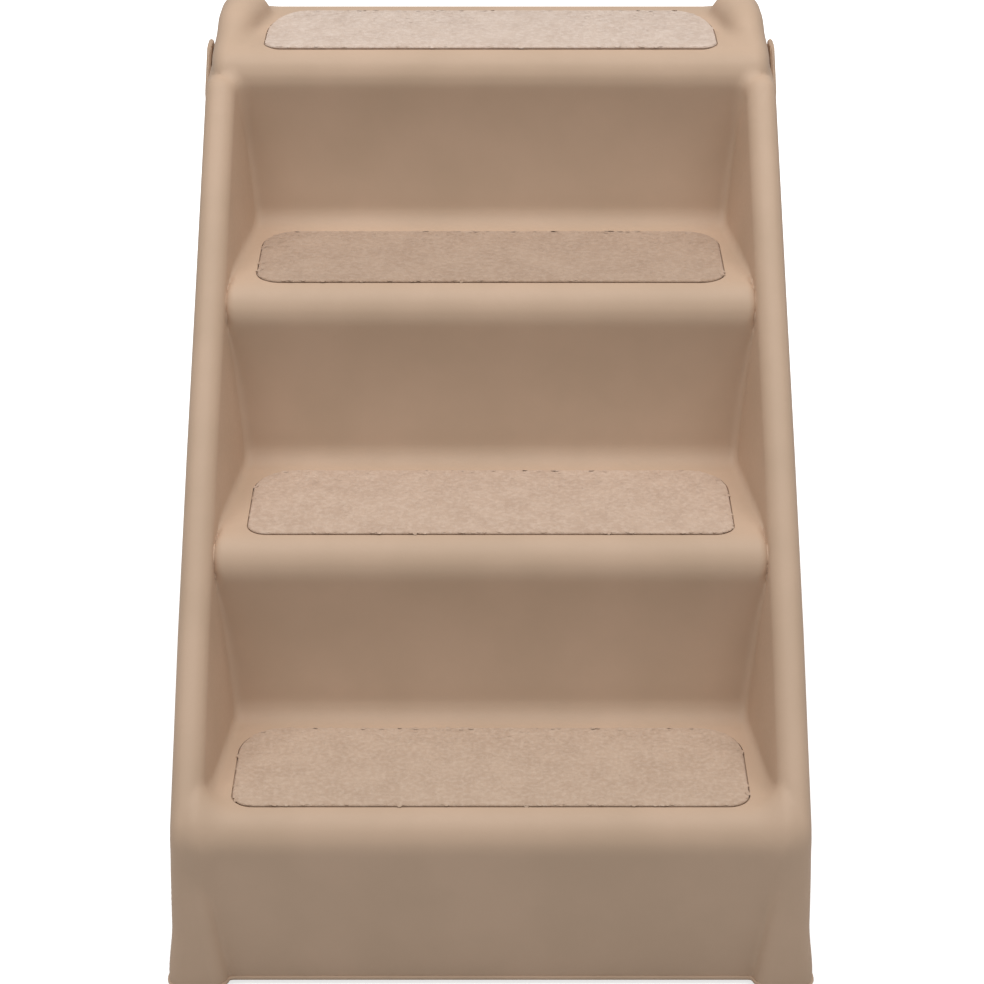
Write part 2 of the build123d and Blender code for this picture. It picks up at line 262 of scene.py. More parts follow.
def grown(thing: bpy.types.Object, tree: bpy.types.NodeTree, values: dict) -> bpy.types.Object:
    """Runs geometry nodes on an object and bakes what they give.

    Args:
        thing: Object that the tree works on.
        tree: Tree of geometry nodes.
        values: Input label, to its value.

    Returns:
        The same object with the new mesh.
    """
    modifier = thing.modifiers.new(tree.name, "NODES")
    modifier.node_group = tree
    for item in tree.interface.items_tree:
        if item.in_out == "INPUT" and item.name in values:
            modifier[item.identifier] = values[item.name]
    return baked(thing)


def mesh_object(name: str, vertices: np.ndarray, faces, smooth: bool = True) -> bpy.types.Object:
    """Makes a mesh object at the origin.

    Args:
        name: Name of the object.
        vertices: Places in metres.
        faces: Vertex numbers of each face.
        smooth: Whether its faces are shaded smooth.

    Returns:
        The new object, in the scene.
    """
    mesh = bpy.data.meshes.new(name)
    mesh.from_pydata(
        [tuple(map(float, v)) for v in vertices], [], [tuple(map(int, f)) for f in faces]
    )
    mesh.validate()
    mesh.polygons.foreach_set("use_smooth", [smooth] * len(mesh.polygons))
    thing = bpy.data.objects.new(name, mesh)
    bpy.context.scene.collection.objects.link(thing)
    return thing


def block_faces(count: int) -> list[tuple[int, ...]]:
    """Faces of a closed block whose lower and upper ring have that many points each."""
    faces = [tuple(range(count))[::-1], tuple(range(count, 2 * count))]
    faces += [(i, (i + 1) % count, count + (i + 1) % count, count + i) for i in range(count)]
    return faces


def baked(thing: bpy.types.Object) -> bpy.types.Object:
    """Turns an object and its modifiers into a plain mesh on the same object.

    Args:
        thing: Object whose modifiers are done with.

    Returns:
        The same object, without modifiers.
    """
    bpy.context.view_layer.update()
    graph = bpy.context.evaluated_depsgraph_get()
    mesh = bpy.data.meshes.new_from_object(thing.evaluated_get(graph))
    thing.modifiers.clear()
    thing.data = mesh
    mesh.name = thing.name
    return thing


def dress(thing: bpy.types.Object, material: bpy.types.Material) -> None:
    """Gives an object one material and no other."""
    thing.data.materials.clear()
    thing.data.materials.append(material)


def joined(things: list[bpy.types.Object], name: str) -> bpy.types.Object:
    """Joins several mesh objects into the first and renames it.

    Args:
        things: Mesh objects at the origin.
        name: Name of the result.

    Returns:
        The joined object.
    """
    bm = bmesh.new()
    for thing in things:
        bm.from_mesh(thing.data)
    first, rest = things[0], things[1:]
    bm.to_mesh(first.data)
    bm.free()
    for thing in rest:
        bpy.data.objects.remove(thing)
    first.name = name
    first.data.name = name
    return first


def sharpen(thing: bpy.types.Object, angle_deg: float) -> None:
    """Shades an object smooth, but for edges that turn by more than an angle.

    Args:
        thing: Mesh object.
        angle_deg: The angle in degrees.
    """
    bm = bmesh.new()
    bm.from_mesh(thing.data)
    limit = math.radians(angle_deg)
    for face in bm.faces:
        face.smooth = True
    for edge in bm.edges:
        edge.smooth = not edge.is_manifold or edge.calc_face_angle(0.0) < limit
    bm.to_mesh(thing.data)
    bm.free()


# Finishes


@dataclass(frozen=True)
class MouldedPlastic:
    """Blow-moulded polyethylene: the eye gets a satin, faintly waxy tan with a fine mould grain."""

    name: str = "blow_moulded_polyethylene"
    colour: str = "c9ad95"
    deep_colour: str = "c3a890"
    grain_mm: float = 0.8
    grain_height_mm: float = 0.035
    speck_mm: float = 2.5
    speck_span: tuple[float, float] = (0.3, 0.7)
    speck_share: float = 0.12
    ripple_mm: float = 70.0
    ripple_height_mm: float = 0.06
    flow_mm: float = 55.0
    flow_span: tuple[float, float] = (0.35, 0.65)
    roughness: tuple[float, float] = (0.44, 0.56)
    gloss: float = 0.22
    details: tuple[float, ...] = (3.0, 4.0, 2.0, 1.0)

    def material(self) -> bpy.types.Material:
        """Builds the material."""
        sizes = (self.flow_mm, self.speck_mm, self.grain_mm, self.ripple_mm)
        material, tree, shader, patterns = started_material(self.name, sizes, self.details)
        flow, speck, grain, ripple = patterns
        colour, deep = linear(self.colour), linear(self.deep_colour)
        tone = mix_colour(tree, ranged(tree, flow, self.flow_span, UNIT), colour, deep)
        share = ranged(tree, speck, self.speck_span, (0.0, self.speck_share))
        tone = mix_colour(tree, share, tone, deep)
        bump = {"Strength": 1.0, "Distance": self.ripple_height_mm * MM, "Height": ripple}
        wavy = add_node(tree, "ShaderNodeBump", bump).outputs[0]
        bump.update({"Distance": self.grain_height_mm * MM, "Height": grain, "Normal": wavy})
        values = {
            "Specular IOR Level": self.gloss,
            "Base Color": tone,
            "Roughness": ranged(tree, speck, self.speck_span, self.roughness),
            "Normal": add_node(tree, "ShaderNodeBump", bump).outputs[0],
        }
        feed(tree, shader, values)
        return material


@dataclass(frozen=True)
class CarpetPile:
    """Needle-punched polyester pile: the eye gets a soft, mottled beige felt with light tips."""

    name: str = "needle_punched_polyester_pile"
    colour: str = "cbb29c"
    tip_colour: str = "dcc7b4"
    root_colour: str = "a98d77"
    # Painted light and shade: factors on red, green and blue that make this copy of the pile
    # lighter or darker
    painted_light_shade: tuple[float, float, float] = (1.0, 1.0, 1.0)
    fibre_mm: float = 0.7
    tuft_mm: float = 3.2
    patch_mm: float = 17.0
    patch_span: tuple[float, float] = (0.35, 0.65)
    patch_share: tuple[float, float] = (0.1, 0.4)
    tuft_span: tuple[float, float] = (0.42, 0.7)
    tuft_share: tuple[float, float] = (0.0, 0.5)
    fibre_span: tuple[float, float] = (0.3, 0.55)
    fibre_share: tuple[float, float] = (0.2, 0.0)
    pile_height_mm: float = 0.25
    roughness: float = 0.95
    sheen: tuple[float, float] = (0.35, 0.5)
    details: tuple[float, ...] = (3.0, 3.0, 3.0)

    def shaded(self, hex_colour: str) -> tuple[float, float, float, float]:
        """A colour with this piece's painted light or shade put on it."""
        colour = linear(hex_colour)
        return tuple(min(1.0, part * shade) for part, shade in zip(colour, self.painted_light_shade)) + (1.0,)

    def material(self) -> bpy.types.Material:
        """Builds the material."""
        sizes = (self.patch_mm, self.tuft_mm, self.fibre_mm)
        material, tree, shader, patterns = started_material(self.name, sizes, self.details)
        patch, tuft, fibre = patterns
        base, tip, root = [
            self.shaded(tone) for tone in (self.colour, self.tip_colour, self.root_colour)
        ]
        tone = mix_colour(tree, ranged(tree, patch, self.patch_span, self.patch_share), base, root)
        tone = mix_colour(tree, ranged(tree, tuft, self.tuft_span, self.tuft_share), tone, tip)
        tone = mix_colour(tree, ranged(tree, fibre, self.fibre_span, self.fibre_share), tone, root)
        height = add_node(tree, "ShaderNodeMath", {0: tuft, 1: fibre}, operation="ADD").outputs[0]
        mounds = {"Strength": 1.0, "Distance": self.pile_height_mm * MM, "Height": height}
        weight, spread = self.sheen
        values = {
            "Base Color": tone,
            "Normal": add_node(tree, "ShaderNodeBump", mounds).outputs[0],
            "Roughness": self.roughness,
            "Sheen Weight": weight,
            "Sheen Roughness": spread,
        }
        feed(tree, shader, values)
        return material


@dataclass(frozen=True)
class ZincSteel:
    """Zinc-plated steel wire: the eye gets a cool grey metal with soft drawn streaks."""

    name: str = "zinc_plated_steel"
    colour: str = "b9bcc0"
    streak_colour: str = "8f9499"
    streak_mm: float = 1.2
    streak_height_mm: float = 0.02
    streak_span: tuple[float, float] = (0.3, 0.7)
    streak_share: float = 0.4
    roughness: tuple[float, float] = (0.28, 0.45)
    relief: float = 0.4
    detail: float = 4.0

    def material(self) -> bpy.types.Material:
        """Builds the material."""
        material, tree, shader, patterns = started_material(
            self.name, (self.streak_mm,), (self.detail,)
        )
        streak = patterns[0]
        share = ranged(tree, streak, self.streak_span, (0.0, self.streak_share))
        tone = mix_colour(tree, share, linear(self.colour), linear(self.streak_colour))
        height = self.streak_height_mm * MM
        lines = {"Strength": self.relief, "Distance": height, "Height": streak}
        values = {
            "Base Color": tone,
            "Roughness": ranged(tree, streak, self.streak_span, self.roughness),
            "Normal": add_node(tree, "ShaderNodeBump", lines).outputs[0],
            "Metallic": 1.0,
        }
        feed(tree, shader, values)
        return material


@dataclass(frozen=True)
class MouldedRubber:
    """Compression-moulded rubber: the eye gets a matt tan-brown with a faint dusty bloom."""

    name: str = "moulded_rubber"
    colour: str = "9c7f69"
    bloom_colour: str = "b59a84"
    bloom_mm: float = 9.0
    bloom_span: tuple[float, float] = (0.35, 0.7)
    bloom_share: float = 0.5
    grain_mm: float = 0.6
    grain_height_mm: float = 0.05
    grain_span: tuple[float, float] = (0.3, 0.7)
    roughness: tuple[float, float] = (0.7, 0.85)
    relief: float = 0.7
    details: tuple[float, ...] = (3.0, 3.0)

    def material(self) -> bpy.types.Material:
        """Builds the material."""
        sizes = (self.bloom_mm, self.grain_mm)
        material, tree, shader, patterns = started_material(self.name, sizes, self.details)
        bloom, grain = patterns
        share = ranged(tree, bloom, self.bloom_span, (0.0, self.bloom_share))
        tone = mix_colour(tree, share, linear(self.colour), linear(self.bloom_colour))
        height = self.grain_height_mm * MM
        grains = {"Strength": self.relief, "Distance": height, "Height": grain}
        values = {
            "Base Color": tone,
            "Roughness": ranged(tree, grain, self.grain_span, self.roughness),
            "Normal": add_node(tree, "ShaderNodeBump", grains).outputs[0],
        }
        feed(tree, shader, values)
        return material


# The flight's own frame: along the slope and deep below the crest line


@dataclass(frozen=True)
class FlightFrame:
    """Sizes of the flight in millimetres and the slope's coordinates."""

    steps: int = 4
    run: float = 139.7
    riser: float = 120.5
    first_tread: float = 123.5
    platform_depth: float = 125.0
    nosing: float = 22.0
    crest_proud: float = 3.0
    skin: float = 12.0
    platform_lift: float = 1.3
    centre_y: float = -CAD_BOUNDS[0][1] / MM

    @property
    def slope(self) -> tuple[float, float]:
        """Cosine and sine of the slope."""
        length = math.hypot(self.run, self.riser)
        return self.run / length, self.riser / length

    @property
    def crest(self) -> tuple[float, float]:
        """Place on the crest line from which lengths along it count."""
        cos, sin = self.slope
        reach = self.nosing + self.crest_proud
        return self.nosing - reach * sin, self.first_tread - self.nosing + reach * cos

    @property
    def corner_depth(self) -> float:
        """Depth of the corners between treads and risers."""
        cos, sin = self.slope
        return self.nosing + self.crest_proud + (self.run - self.nosing) * sin - self.nosing * cos

    @property
    def under_depth(self) -> float:
        """Depth of the flat underside."""
        return self.corner_depth + self.skin

    @property
    def length(self) -> float:
        """From the lowest nosing to the rear of the platform."""
        return (self.steps - 1) * self.run + self.platform_depth

    @property
    def platform(self) -> float:
        """Height of the platform."""
        return self.tread(self.steps - 1)

    def tread(self, step: int) -> float:
        """Height of a step's tread; the last one is the platform, which stands a little proud."""
        lift = self.platform_lift if step == self.steps - 1 else 0.0
        return self.first_tread + step * self.riser + lift

    def to_slope(self, y, z):
        """Turns (back from the nosing, up) into (along the slope, deep)."""
        cos, sin = self.slope
        crest_y, crest_z = self.crest
        return (y - crest_y) * cos + (z - crest_z) * sin, (y - crest_y) * sin - (z - crest_z) * cos

    def from_slope(self, along, depth):
        """Turns (along the slope, deep) into (back from the nosing, up)."""
        cos, sin = self.slope
        crest_y, crest_z = self.crest
        return crest_y + along * cos + depth * sin, crest_z + along * sin - depth * cos

    def back_at(self, height: float, depth: float) -> float:
        """Distance back from the nosing where the line of that depth has that height."""
        cos, sin = self.slope
        crest_y, crest_z = self.crest
        return crest_y + depth * sin + (height - crest_z + depth * cos) * cos / sin

    def height_at(self, back: float, depth: float) -> float:
        """Height where the line of that depth passes that distance back."""
        cos, sin = self.slope
        crest_y, crest_z = self.crest
        return crest_z + (back - crest_y - depth * sin) * sin / cos - depth * cos

    def world(self, along, across, depth) -> np.ndarray:
        """Places in metres in the row's frame, from the slope's coordinates in millimetres."""
        y, z = self.from_slope(along, depth)
        return np.stack([across, y - self.centre_y, z], axis=-1) * MM


def rounded_polygon(points: Points, radii: Sequence[float]) -> np.ndarray:
    """Rounds the corners of a closed polygon.

    Args:
        points: Corners in order.
        radii: Radius at each corner.

    Returns:
        The rounded outline's points.
    """
    outline = []
    count = len(points)
    for number, (point, radius) in enumerate(zip(points, radii)):
        here = np.array(point)
        before = np.array(points[number - 1]) - here
        after = np.array(points[(number + 1) % count]) - here
        before /= np.linalg.norm(before)
        after /= np.linalg.norm(after)
        half = math.acos(float(np.clip(before @ after, -1, 1))) / 2
        if radius <= 0 or half > math.pi / 2 - 0.01:
            outline.append(here)
            continue
        reach = radius / math.tan(half)
        centre = here + (before + after) / np.linalg.norm(before + after) * radius / math.sin(half)
        start, stop = here + before * reach - centre, here + after * reach - centre
        turn = math.pi - 2 * half
        degrees = math.degrees(turn)
        stages = max(2, int(degrees / ARC_STEP_DEG), int(radius * turn / ARC_STEP_MM))
        for stage in range(stages + 1):
            share = stage / stages
            weight_start = math.sin((1 - share) * turn) / math.sin(turn)
            weight_stop = math.sin(share * turn) / math.sin(turn)
            outline.append(centre + start * weight_start + stop * weight_stop)
    return np.array(outline)


class SideProfile:
    """Signed distance to an outline in the side view, looked up in the slope's coordinates."""

    origin = (-130.0, -70.0)

    def __init__(
        self,
        flight: FlightFrame,
        points: Points,
        radii: Sequence[float],
        reach: tuple = (900, 230),
        spacing: float = 1.0,
    ) -> None:
        """Works out the table of distances, negative inside.

        Args:
            flight: The flight's frame.
            points: Corners, back from the nosing and up, in millimetres.
            radii: Radius at each corner.
            reach: Length and depth of the table, in millimetres.
            spacing: Distance between the table's places, in millimetres.
        """
        self.spacing = spacing
        outline = rounded_polygon(points, radii)
        along, depth = flight.to_slope(outline[:, 0], outline[:, 1])
        start = np.stack([along, depth], axis=1)
        stop = np.roll(start, -1, axis=0)
        places = [
            first + np.arange(0, length, spacing) for first, length in zip(self.origin, reach)
        ]
        grid_a, grid_d = np.meshgrid(*places, indexing="ij")
        nearest = np.full(grid_a.shape, np.inf)
        inside = np.zeros(grid_a.shape, dtype=bool)
        for (a0, d0), (a1, d1) in zip(start, stop):
            run_a, run_d = a1 - a0, d1 - d0
            square = run_a * run_a + run_d * run_d
            if square < 1e-12:
                continue
            share = np.clip(((grid_a - a0) * run_a + (grid_d - d0) * run_d) / square, 0, 1)
            gap = (grid_a - a0 - share * run_a) ** 2 + (grid_d - d0 - share * run_d) ** 2
            nearest = np.minimum(nearest, gap)
            crosses = (d0 > grid_d) != (d1 > grid_d)
            if abs(run_d) > 1e-12:
                inside ^= crosses & (grid_a < a0 + (grid_d - d0) * run_a / run_d)
        self.table = np.sqrt(nearest) * np.where(inside, -1, 1)

    def distance(self, along: np.ndarray, depth: np.ndarray) -> np.ndarray:
        """Signed distance in millimetres, bilinear between the table's places."""
        rows, columns = self.table.shape
        a = np.clip((along - self.origin[0]) / self.spacing, 0, rows - 1.001)
        d = np.clip((depth - self.origin[1]) / self.spacing, 0, columns - 1.001)
        i, j = a.astype(int), d.astype(int)
        u, v = a - i, d - j
        low = self.table[i, j] * (1 - u) + self.table[i + 1, j] * u
        high = self.table[i, j + 1] * (1 - u) + self.table[i + 1, j + 1] * u
        return low * (1 - v) + high * v


def round_cut(parts: list[np.ndarray], radius) -> np.ndarray:
    """Distance to what several shapes share, with its outer edges rounded."""
    raised = [part + radius for part in parts]
    outside = np.sqrt(sum(np.maximum(part, 0) ** 2 for part in raised))
    inside = np.minimum(np.maximum.reduce(raised), 0)
    return outside + inside - radius


def round_join(first: np.ndarray, second: np.ndarray, radius) -> np.ndarray:
    """Distance to two shapes together, with a fillet where they meet."""
    near_first = np.maximum(radius - first, 0)
    near_second = np.maximum(radius - second, 0)
    return np.maximum(radius, np.minimum(first, second)) - np.sqrt(near_first**2 + near_second**2)


def smooth_step(value: np.ndarray, start: float, stop: float) -> np.ndarray:
    """Eases from 0 at start to 1 at stop."""
    share = np.clip((value - start) / (stop - start), 0, 1)
    return share * share * (3 - 2 * share)


def skin_of(
    field_at: Callable, axes: list[np.ndarray], stride: float
) -> tuple[np.ndarray, np.ndarray]:
    """Wraps a closed quad skin round the zero level of a distance field.

    Args:
        field_at: Function of three arrays that gives signed distances.
        axes: Rising places of the grid's nodes along each coordinate.
        stride: Longest move of a vertex in one step of its settling on the surface.

    Returns:
        Vertices in the field's coordinates and quads.
    """
    grids = np.meshgrid(*axes, indexing="ij")
    level = field_at(*grids)
    inside = level < 0
    shape = tuple(size - 1 for size in inside.shape)
    corners = [(i, j, k) for i in (0, 1) for j in (0, 1) for k in (0, 1)]

    def window(array: np.ndarray, offset: tuple[int, int, int]) -> np.ndarray:
        """The part of a node array that lies at one corner of every cell."""
        return array[tuple(slice(o, o + size) for o, size in zip(offset, shape))]

    filled = sum(window(inside, corner).astype(np.int8) for corner in corners)
    cells = np.argwhere((filled > 0) & (filled < 8))
    number = np.full(shape, -1)
    number[tuple(cells.T)] = np.arange(len(cells))
    total = np.zeros((len(cells), 3))
    hits = np.zeros(len(cells))
    for one in corners:
        for other in corners:
            if sum(other) - sum(one) != 1 or any(o < a for o, a in zip(other, one)):
                continue
            first = level[tuple((cells + one).T)]
            second = level[tuple((cells + other).T)]
            crossed = (first < 0) != (second < 0)
            share = np.where(crossed, first / np.where(crossed, first - second, 1), 0)[:, None]
            place = cells + np.array(one) + share * (np.array(other) - np.array(one))
            total += np.where(crossed[:, None], place, 0)
            hits += crossed
    places = total / hits[:, None]
    vertices = np.stack(
        [np.interp(places[:, k], np.arange(len(axis)), axis) for k, axis in enumerate(axes)], axis=1
    )
    quads = []
    for axis in range(3):
        ahead = [slice(None)] * 3
        behind = [slice(None)] * 3
        ahead[axis], behind[axis] = slice(1, None), slice(None, -1)
        changes = np.argwhere(inside[tuple(ahead)] != inside[tuple(behind)])
        u, v = [other for other in range(3) if other != axis]
        for other in (u, v):
            changes = changes[(changes[:, other] > 0) & (changes[:, other] < shape[other])]
        ring = []
        for du, dv in ((0, 0), (-1, 0), (-1, -1), (0, -1)):
            cell = changes.copy()
            cell[:, u] += du
            cell[:, v] += dv
            ring.append(number[tuple(cell.T)])
        quad = np.stack(ring, axis=1)
        outward = inside[tuple(changes.T)] ^ (axis == 1)
        quads.append(np.where(outward[:, None], quad, quad[:, ::-1]))
    for _ in range(SETTLE_STEPS):
        value = field_at(*vertices.T)
        slopes = []
        for shift in np.eye(3) * NUDGE:
            rise = field_at(*(vertices + shift).T) - field_at(*(vertices - shift).T)
            slopes.append(rise / (2 * NUDGE))
        gradient = np.stack(slopes, axis=1)
        square = np.maximum((gradient**2).sum(axis=1), LEAST_SQUARE)
        step = -(value / square)[:, None] * gradient
        length = np.linalg.norm(step, axis=1, keepdims=True)
        vertices += step * np.minimum(1, stride / np.maximum(length, 1e-9))
    return vertices, np.concatenate(quads)


# The stair body


@dataclass
class StairBody:
    """The one-piece moulding of treads, risers, rails, pillars, apron, platform and shoulders."""

    flight: FlightFrame
    plastic: bpy.types.Material
    crest_half: float = 199.0
    band_half: float = 202.6
    bow_places: tuple[float, ...] = (-100.0, -60.0, -14.0, 40.0, 130.0, 250.0, 380.0, 510.0, 640.0)
    bow_sizes: tuple[float, ...] = (4.2, 3.4, 1.6, 1.9, 2.4, 2.0, 1.0, 0.2, -0.6)
    rail_width: float = 19.0
    rail_round: float = 9.3
    well_taper: float = 15.0
    corner_round: float = 18.0
    riser_sweep: float = 8.0
    riser_knee: float = 60.0
    riser_hollow: float = 7.0
    riser_bow: float = 200.0
    rail_roll: float = 25.0
    apron_gap: float = 2.6
    apron_recess: float = 7.0
    pillar_lean: float = 6.0
    platform_half: float = 195.5
    platform_fillet: float = 8.0
    platform_fade: float = 178.0
    block_round: float = 11.0
    rear_round: float = 3.5
    rail_top: float = 472.0
    band_top: float = 467.0
    end_gap: float = 0.8
    end_round: float = 8.0
    crest_fillet: float = 0.4
    tread_fillet: float = 4.5
    riser_fillet: float = 3.5
    apron_fillet: float = 2.0
    front_fillet: float = 18.0
    crest_span: tuple[float, float] = (9.0, 34.0)
    height_span: tuple[float, float] = (5.0, 70.0)
    front_rise: tuple[float, float] = (60.0, 12.0)
    front_span: tuple[float, float] = (20.0, 60.0)
    foot_height: float = 3.0
    foot_flare: float = 3.2
    foot_span: tuple[float, float] = (8.0, 48.0)
    trim_round: float = 1.5
    wrap_span: tuple[float, float] = (14.0, 44.0)
    wrap_inset: float = 1.0
    end_growth: float = 10.2
    end_span: tuple[float, float] = (12.0, 32.0)
    shoulder_height: float = 17.7
    shoulder_start: float = 12.0
    shoulder_climb: float = 52.0
    shoulder_fall: float = 26.0
    shoulder_root: tuple[float, float] = (10.0, 30.0)
    shoulder_toe: tuple[float, float] = (11.0, 2.0)
    shoulder_heel: tuple[float, float] = (3.0, 4.0)
    shoulder_corners: tuple[float, ...] = (0, 22.0, 46.0, 16.0, 0, 0)
    shoulder_widths: tuple[float, float] = (17.0, 36.0)
    shoulder_flare: float = 10.0
    shoulder_slant: float = 0.97
    shoulder_rounds: tuple[float, float] = (11.0, 5.0)
    shoulder_fillet: float = 6.0
    channel_middles: tuple[float, float] = (80.0, 285.0)
    channel_offsets: tuple[float, float] = (40.0, 135.0)
    channel_half: float = 110.0
    channel_radius: float = 13.0
    channel_depth: float = 7.0
    channel_round: float = 4.0
    below_floor: float = -40.0
    web_depth: float = 40.0
    skin_margins: tuple[float, float] = (9.0, 6.0)
    rail_ends: tuple[float, float] = (14.0, 3.0)
    trim_radius: float = 2.0
    pitch: float = 3.0
    rail_pitch: float = 2.4
    valley_pitch: float = 0.9
    mid_pitch: float = 8.0
    rail_from: float = 152.0
    valley_span: tuple[float, float] = (174.0, 189.0)
    along_span: tuple[float, float] = (-100.0, 735.0)
    depth_from: float = -62.0
    stride: float = 1.8
    seat: "CarpetSeat" = field(default_factory=lambda: CarpetSeat())
    profiles: dict[str, SideProfile] = field(default_factory=dict)

    def outline_profiles(self) -> None:
        """Draws the side profiles that the moulding is made of."""
        flight = self.flight
        under, rear = flight.under_depth, flight.length
        deep = under + self.web_depth
        points: Points = [(self.apron_recess, self.apron_gap)]
        radii = [self.trim_radius]
        for step in range(flight.steps):
            tread = flight.tread(step)
            points.append((step * flight.run, tread))
            radii.append(flight.nosing)
            if step < flight.steps - 1:
                riser_at = (step + 1) * flight.run
                knee = (riser_at + self.riser_hollow, tread + self.riser_knee)
                points += [(riser_at - self.riser_sweep, tread), knee]
                radii += [self.corner_round, self.riser_bow]
        points += [
            (rear, flight.platform),
            (rear, flight.height_at(rear, under)),
            (flight.back_at(self.apron_gap, under), self.apron_gap),
        ]
        radii += [self.rear_round, self.trim_radius, self.trim_radius]
        self.profiles["flight"] = SideProfile(flight, points, radii)
        self.profiles["rail"] = SideProfile(
            flight,
            [
                (-self.pillar_lean, self.below_floor),
                (0, flight.height_at(0, 0)),
                (flight.back_at(self.rail_top, 0), self.rail_top),
                (rear, self.band_top),
                (rear, flight.height_at(rear, deep)),
                (flight.back_at(self.below_floor, deep), self.below_floor),
            ],
            [0, self.rail_roll, *self.rail_ends, 0, 0],
        )
        step_back = (flight.steps - 1) * flight.run
        hollow_back = step_back + self.riser_hollow
        knee_height = flight.tread(flight.steps - 2) + self.riser_knee
        self.profiles["block"] = SideProfile(
            flight,
            [
                (hollow_back, knee_height),
                (step_back, flight.platform),
                (rear, flight.platform),
                (rear, flight.height_at(rear, deep)),
                (hollow_back, flight.height_at(hollow_back, deep)),
            ],
            [0, flight.nosing, self.rear_round, 0, 0],
        )
        start = step_back + self.shoulder_start
        top = flight.platform + self.shoulder_height
        root_back, root_down = self.shoulder_root
        toe_back, toe_down = self.shoulder_toe
        heel_back, heel_down = self.shoulder_heel
        self.profiles["shoulder"] = SideProfile(
            flight,
            [
                (start - root_back, flight.platform - root_down),
                (start + toe_back, flight.platform - toe_down),
                (start + self.shoulder_climb, top),
                (rear - self.shoulder_fall, top),
                (rear - heel_back, flight.platform - heel_down),
                (rear - heel_back, flight.platform - root_down),
            ],
            self.shoulder_corners,
        )

    def distance(self, along: np.ndarray, across: np.ndarray, depth: np.ndarray) -> np.ndarray:
        """Signed distance to the moulding in the slope's coordinates, in millimetres."""
        flight = self.flight
        back, up = flight.from_slope(along, depth)
        off = np.abs(across)
        slant = self.well_taper / flight.corner_depth
        crest = self.crest_half + np.interp(along, self.bow_places, self.bow_sizes)
        inner_at = crest - self.rail_width - depth * slant
        inner = (inner_at - off) / math.hypot(1, slant)
        flare = (self.band_half - crest) / flight.under_depth
        outer = off - crest - depth * flare
        outer = outer - self.foot_flare * (1 - smooth_step(up, *self.foot_span))
        bottom = np.maximum(depth - flight.under_depth, self.foot_height - up)
        rail = round_cut(
            [self.profiles["rail"].distance(along, depth), inner, outer], self.rail_round
        )
        rail = round_cut([rail, bottom], self.trim_round)
        front = 1 - smooth_step(back, *self.wrap_span)
        low = smooth_step(depth, *self.end_span)
        end_at = inner_at + self.end_gap + self.end_growth * low
        end_at = end_at + (crest - self.wrap_inset - end_at) * front
        end_round = self.end_round * (1 - low)
        end_round = end_round + (self.rail_round - end_round) * front
        steps = round_cut([self.profiles["flight"].distance(along, depth), off - end_at], end_round)
        fade_end = self.crest_half - (1 - front) * self.rail_width / 2
        fillet = self.fillet_at(back, up, depth) * (1 - smooth_step(off, inner_at, fade_end))
        sides = off - self.platform_half
        block = round_cut([self.profiles["block"].distance(along, depth), sides], self.block_round)
        fade = 1 - smooth_step(off, self.platform_fade, self.platform_half)
        body = np.minimum(
            round_join(rail, steps, fillet),
            round_join(rail, np.maximum(block, bottom), self.platform_fillet * fade),
        )
        span = np.clip((back - flight.length + flight.platform_depth) / flight.platform_depth, 0, 1)
        front_width, rear_width = self.shoulder_widths
        widening = (rear_width - front_width) * span + self.shoulder_flare * span**4
        edge = self.platform_half - front_width - widening
        least, growth = self.shoulder_rounds
        slope = self.profiles["shoulder"].distance(along, depth)
        ridge = round_cut([slope, (edge - off) * self.shoulder_slant, sides], least + growth * span)
        body = np.maximum(round_join(body, ridge, self.shoulder_fillet), depth - flight.under_depth)
        return np.maximum(body, -self.channels(along, across, depth))

    def fillet_at(self, back: np.ndarray, up: np.ndarray, depth: np.ndarray) -> np.ndarray:
        """Radius between steps and rails: small at crest, foot and apron, large high on a riser."""
        flight = self.flight
        number = np.clip(np.floor((back - flight.nosing) / flight.run), 0, flight.steps - 1)
        height = up - flight.first_tread - number * flight.riser
        growth = (self.riser_fillet - self.tread_fillet) * smooth_step(height, *self.height_span)
        steps = self.tread_fillet + growth - self.crest_fillet
        steps = self.crest_fillet + steps * smooth_step(depth, *self.crest_span)
        start, stop = [flight.first_tread - drop for drop in self.front_rise]
        high = smooth_step(up, start, stop)
        front = self.apron_fillet + (self.front_fillet - self.apron_fillet) * high
        return steps + (front - steps) * (1 - smooth_step(back, *self.front_span))

    def channels(self, along: np.ndarray, across: np.ndarray, depth: np.ndarray) -> np.ndarray:
        """Signed distance to the channels pressed into the underside."""
        middle_x, middle_a = self.channel_middles
        offset_x, offset_a = self.channel_offsets
        straight = self.channel_half - self.channel_radius
        near_x = np.abs(np.abs(np.abs(across) - middle_x) - offset_x)
        near_a = np.maximum(np.abs(np.abs(along - middle_a) - offset_a) - straight, 0)
        slot = np.hypot(near_x, near_a) - self.channel_radius
        roof = (self.flight.under_depth - self.channel_depth) - depth
        return round_cut([slot, roof], self.channel_round)

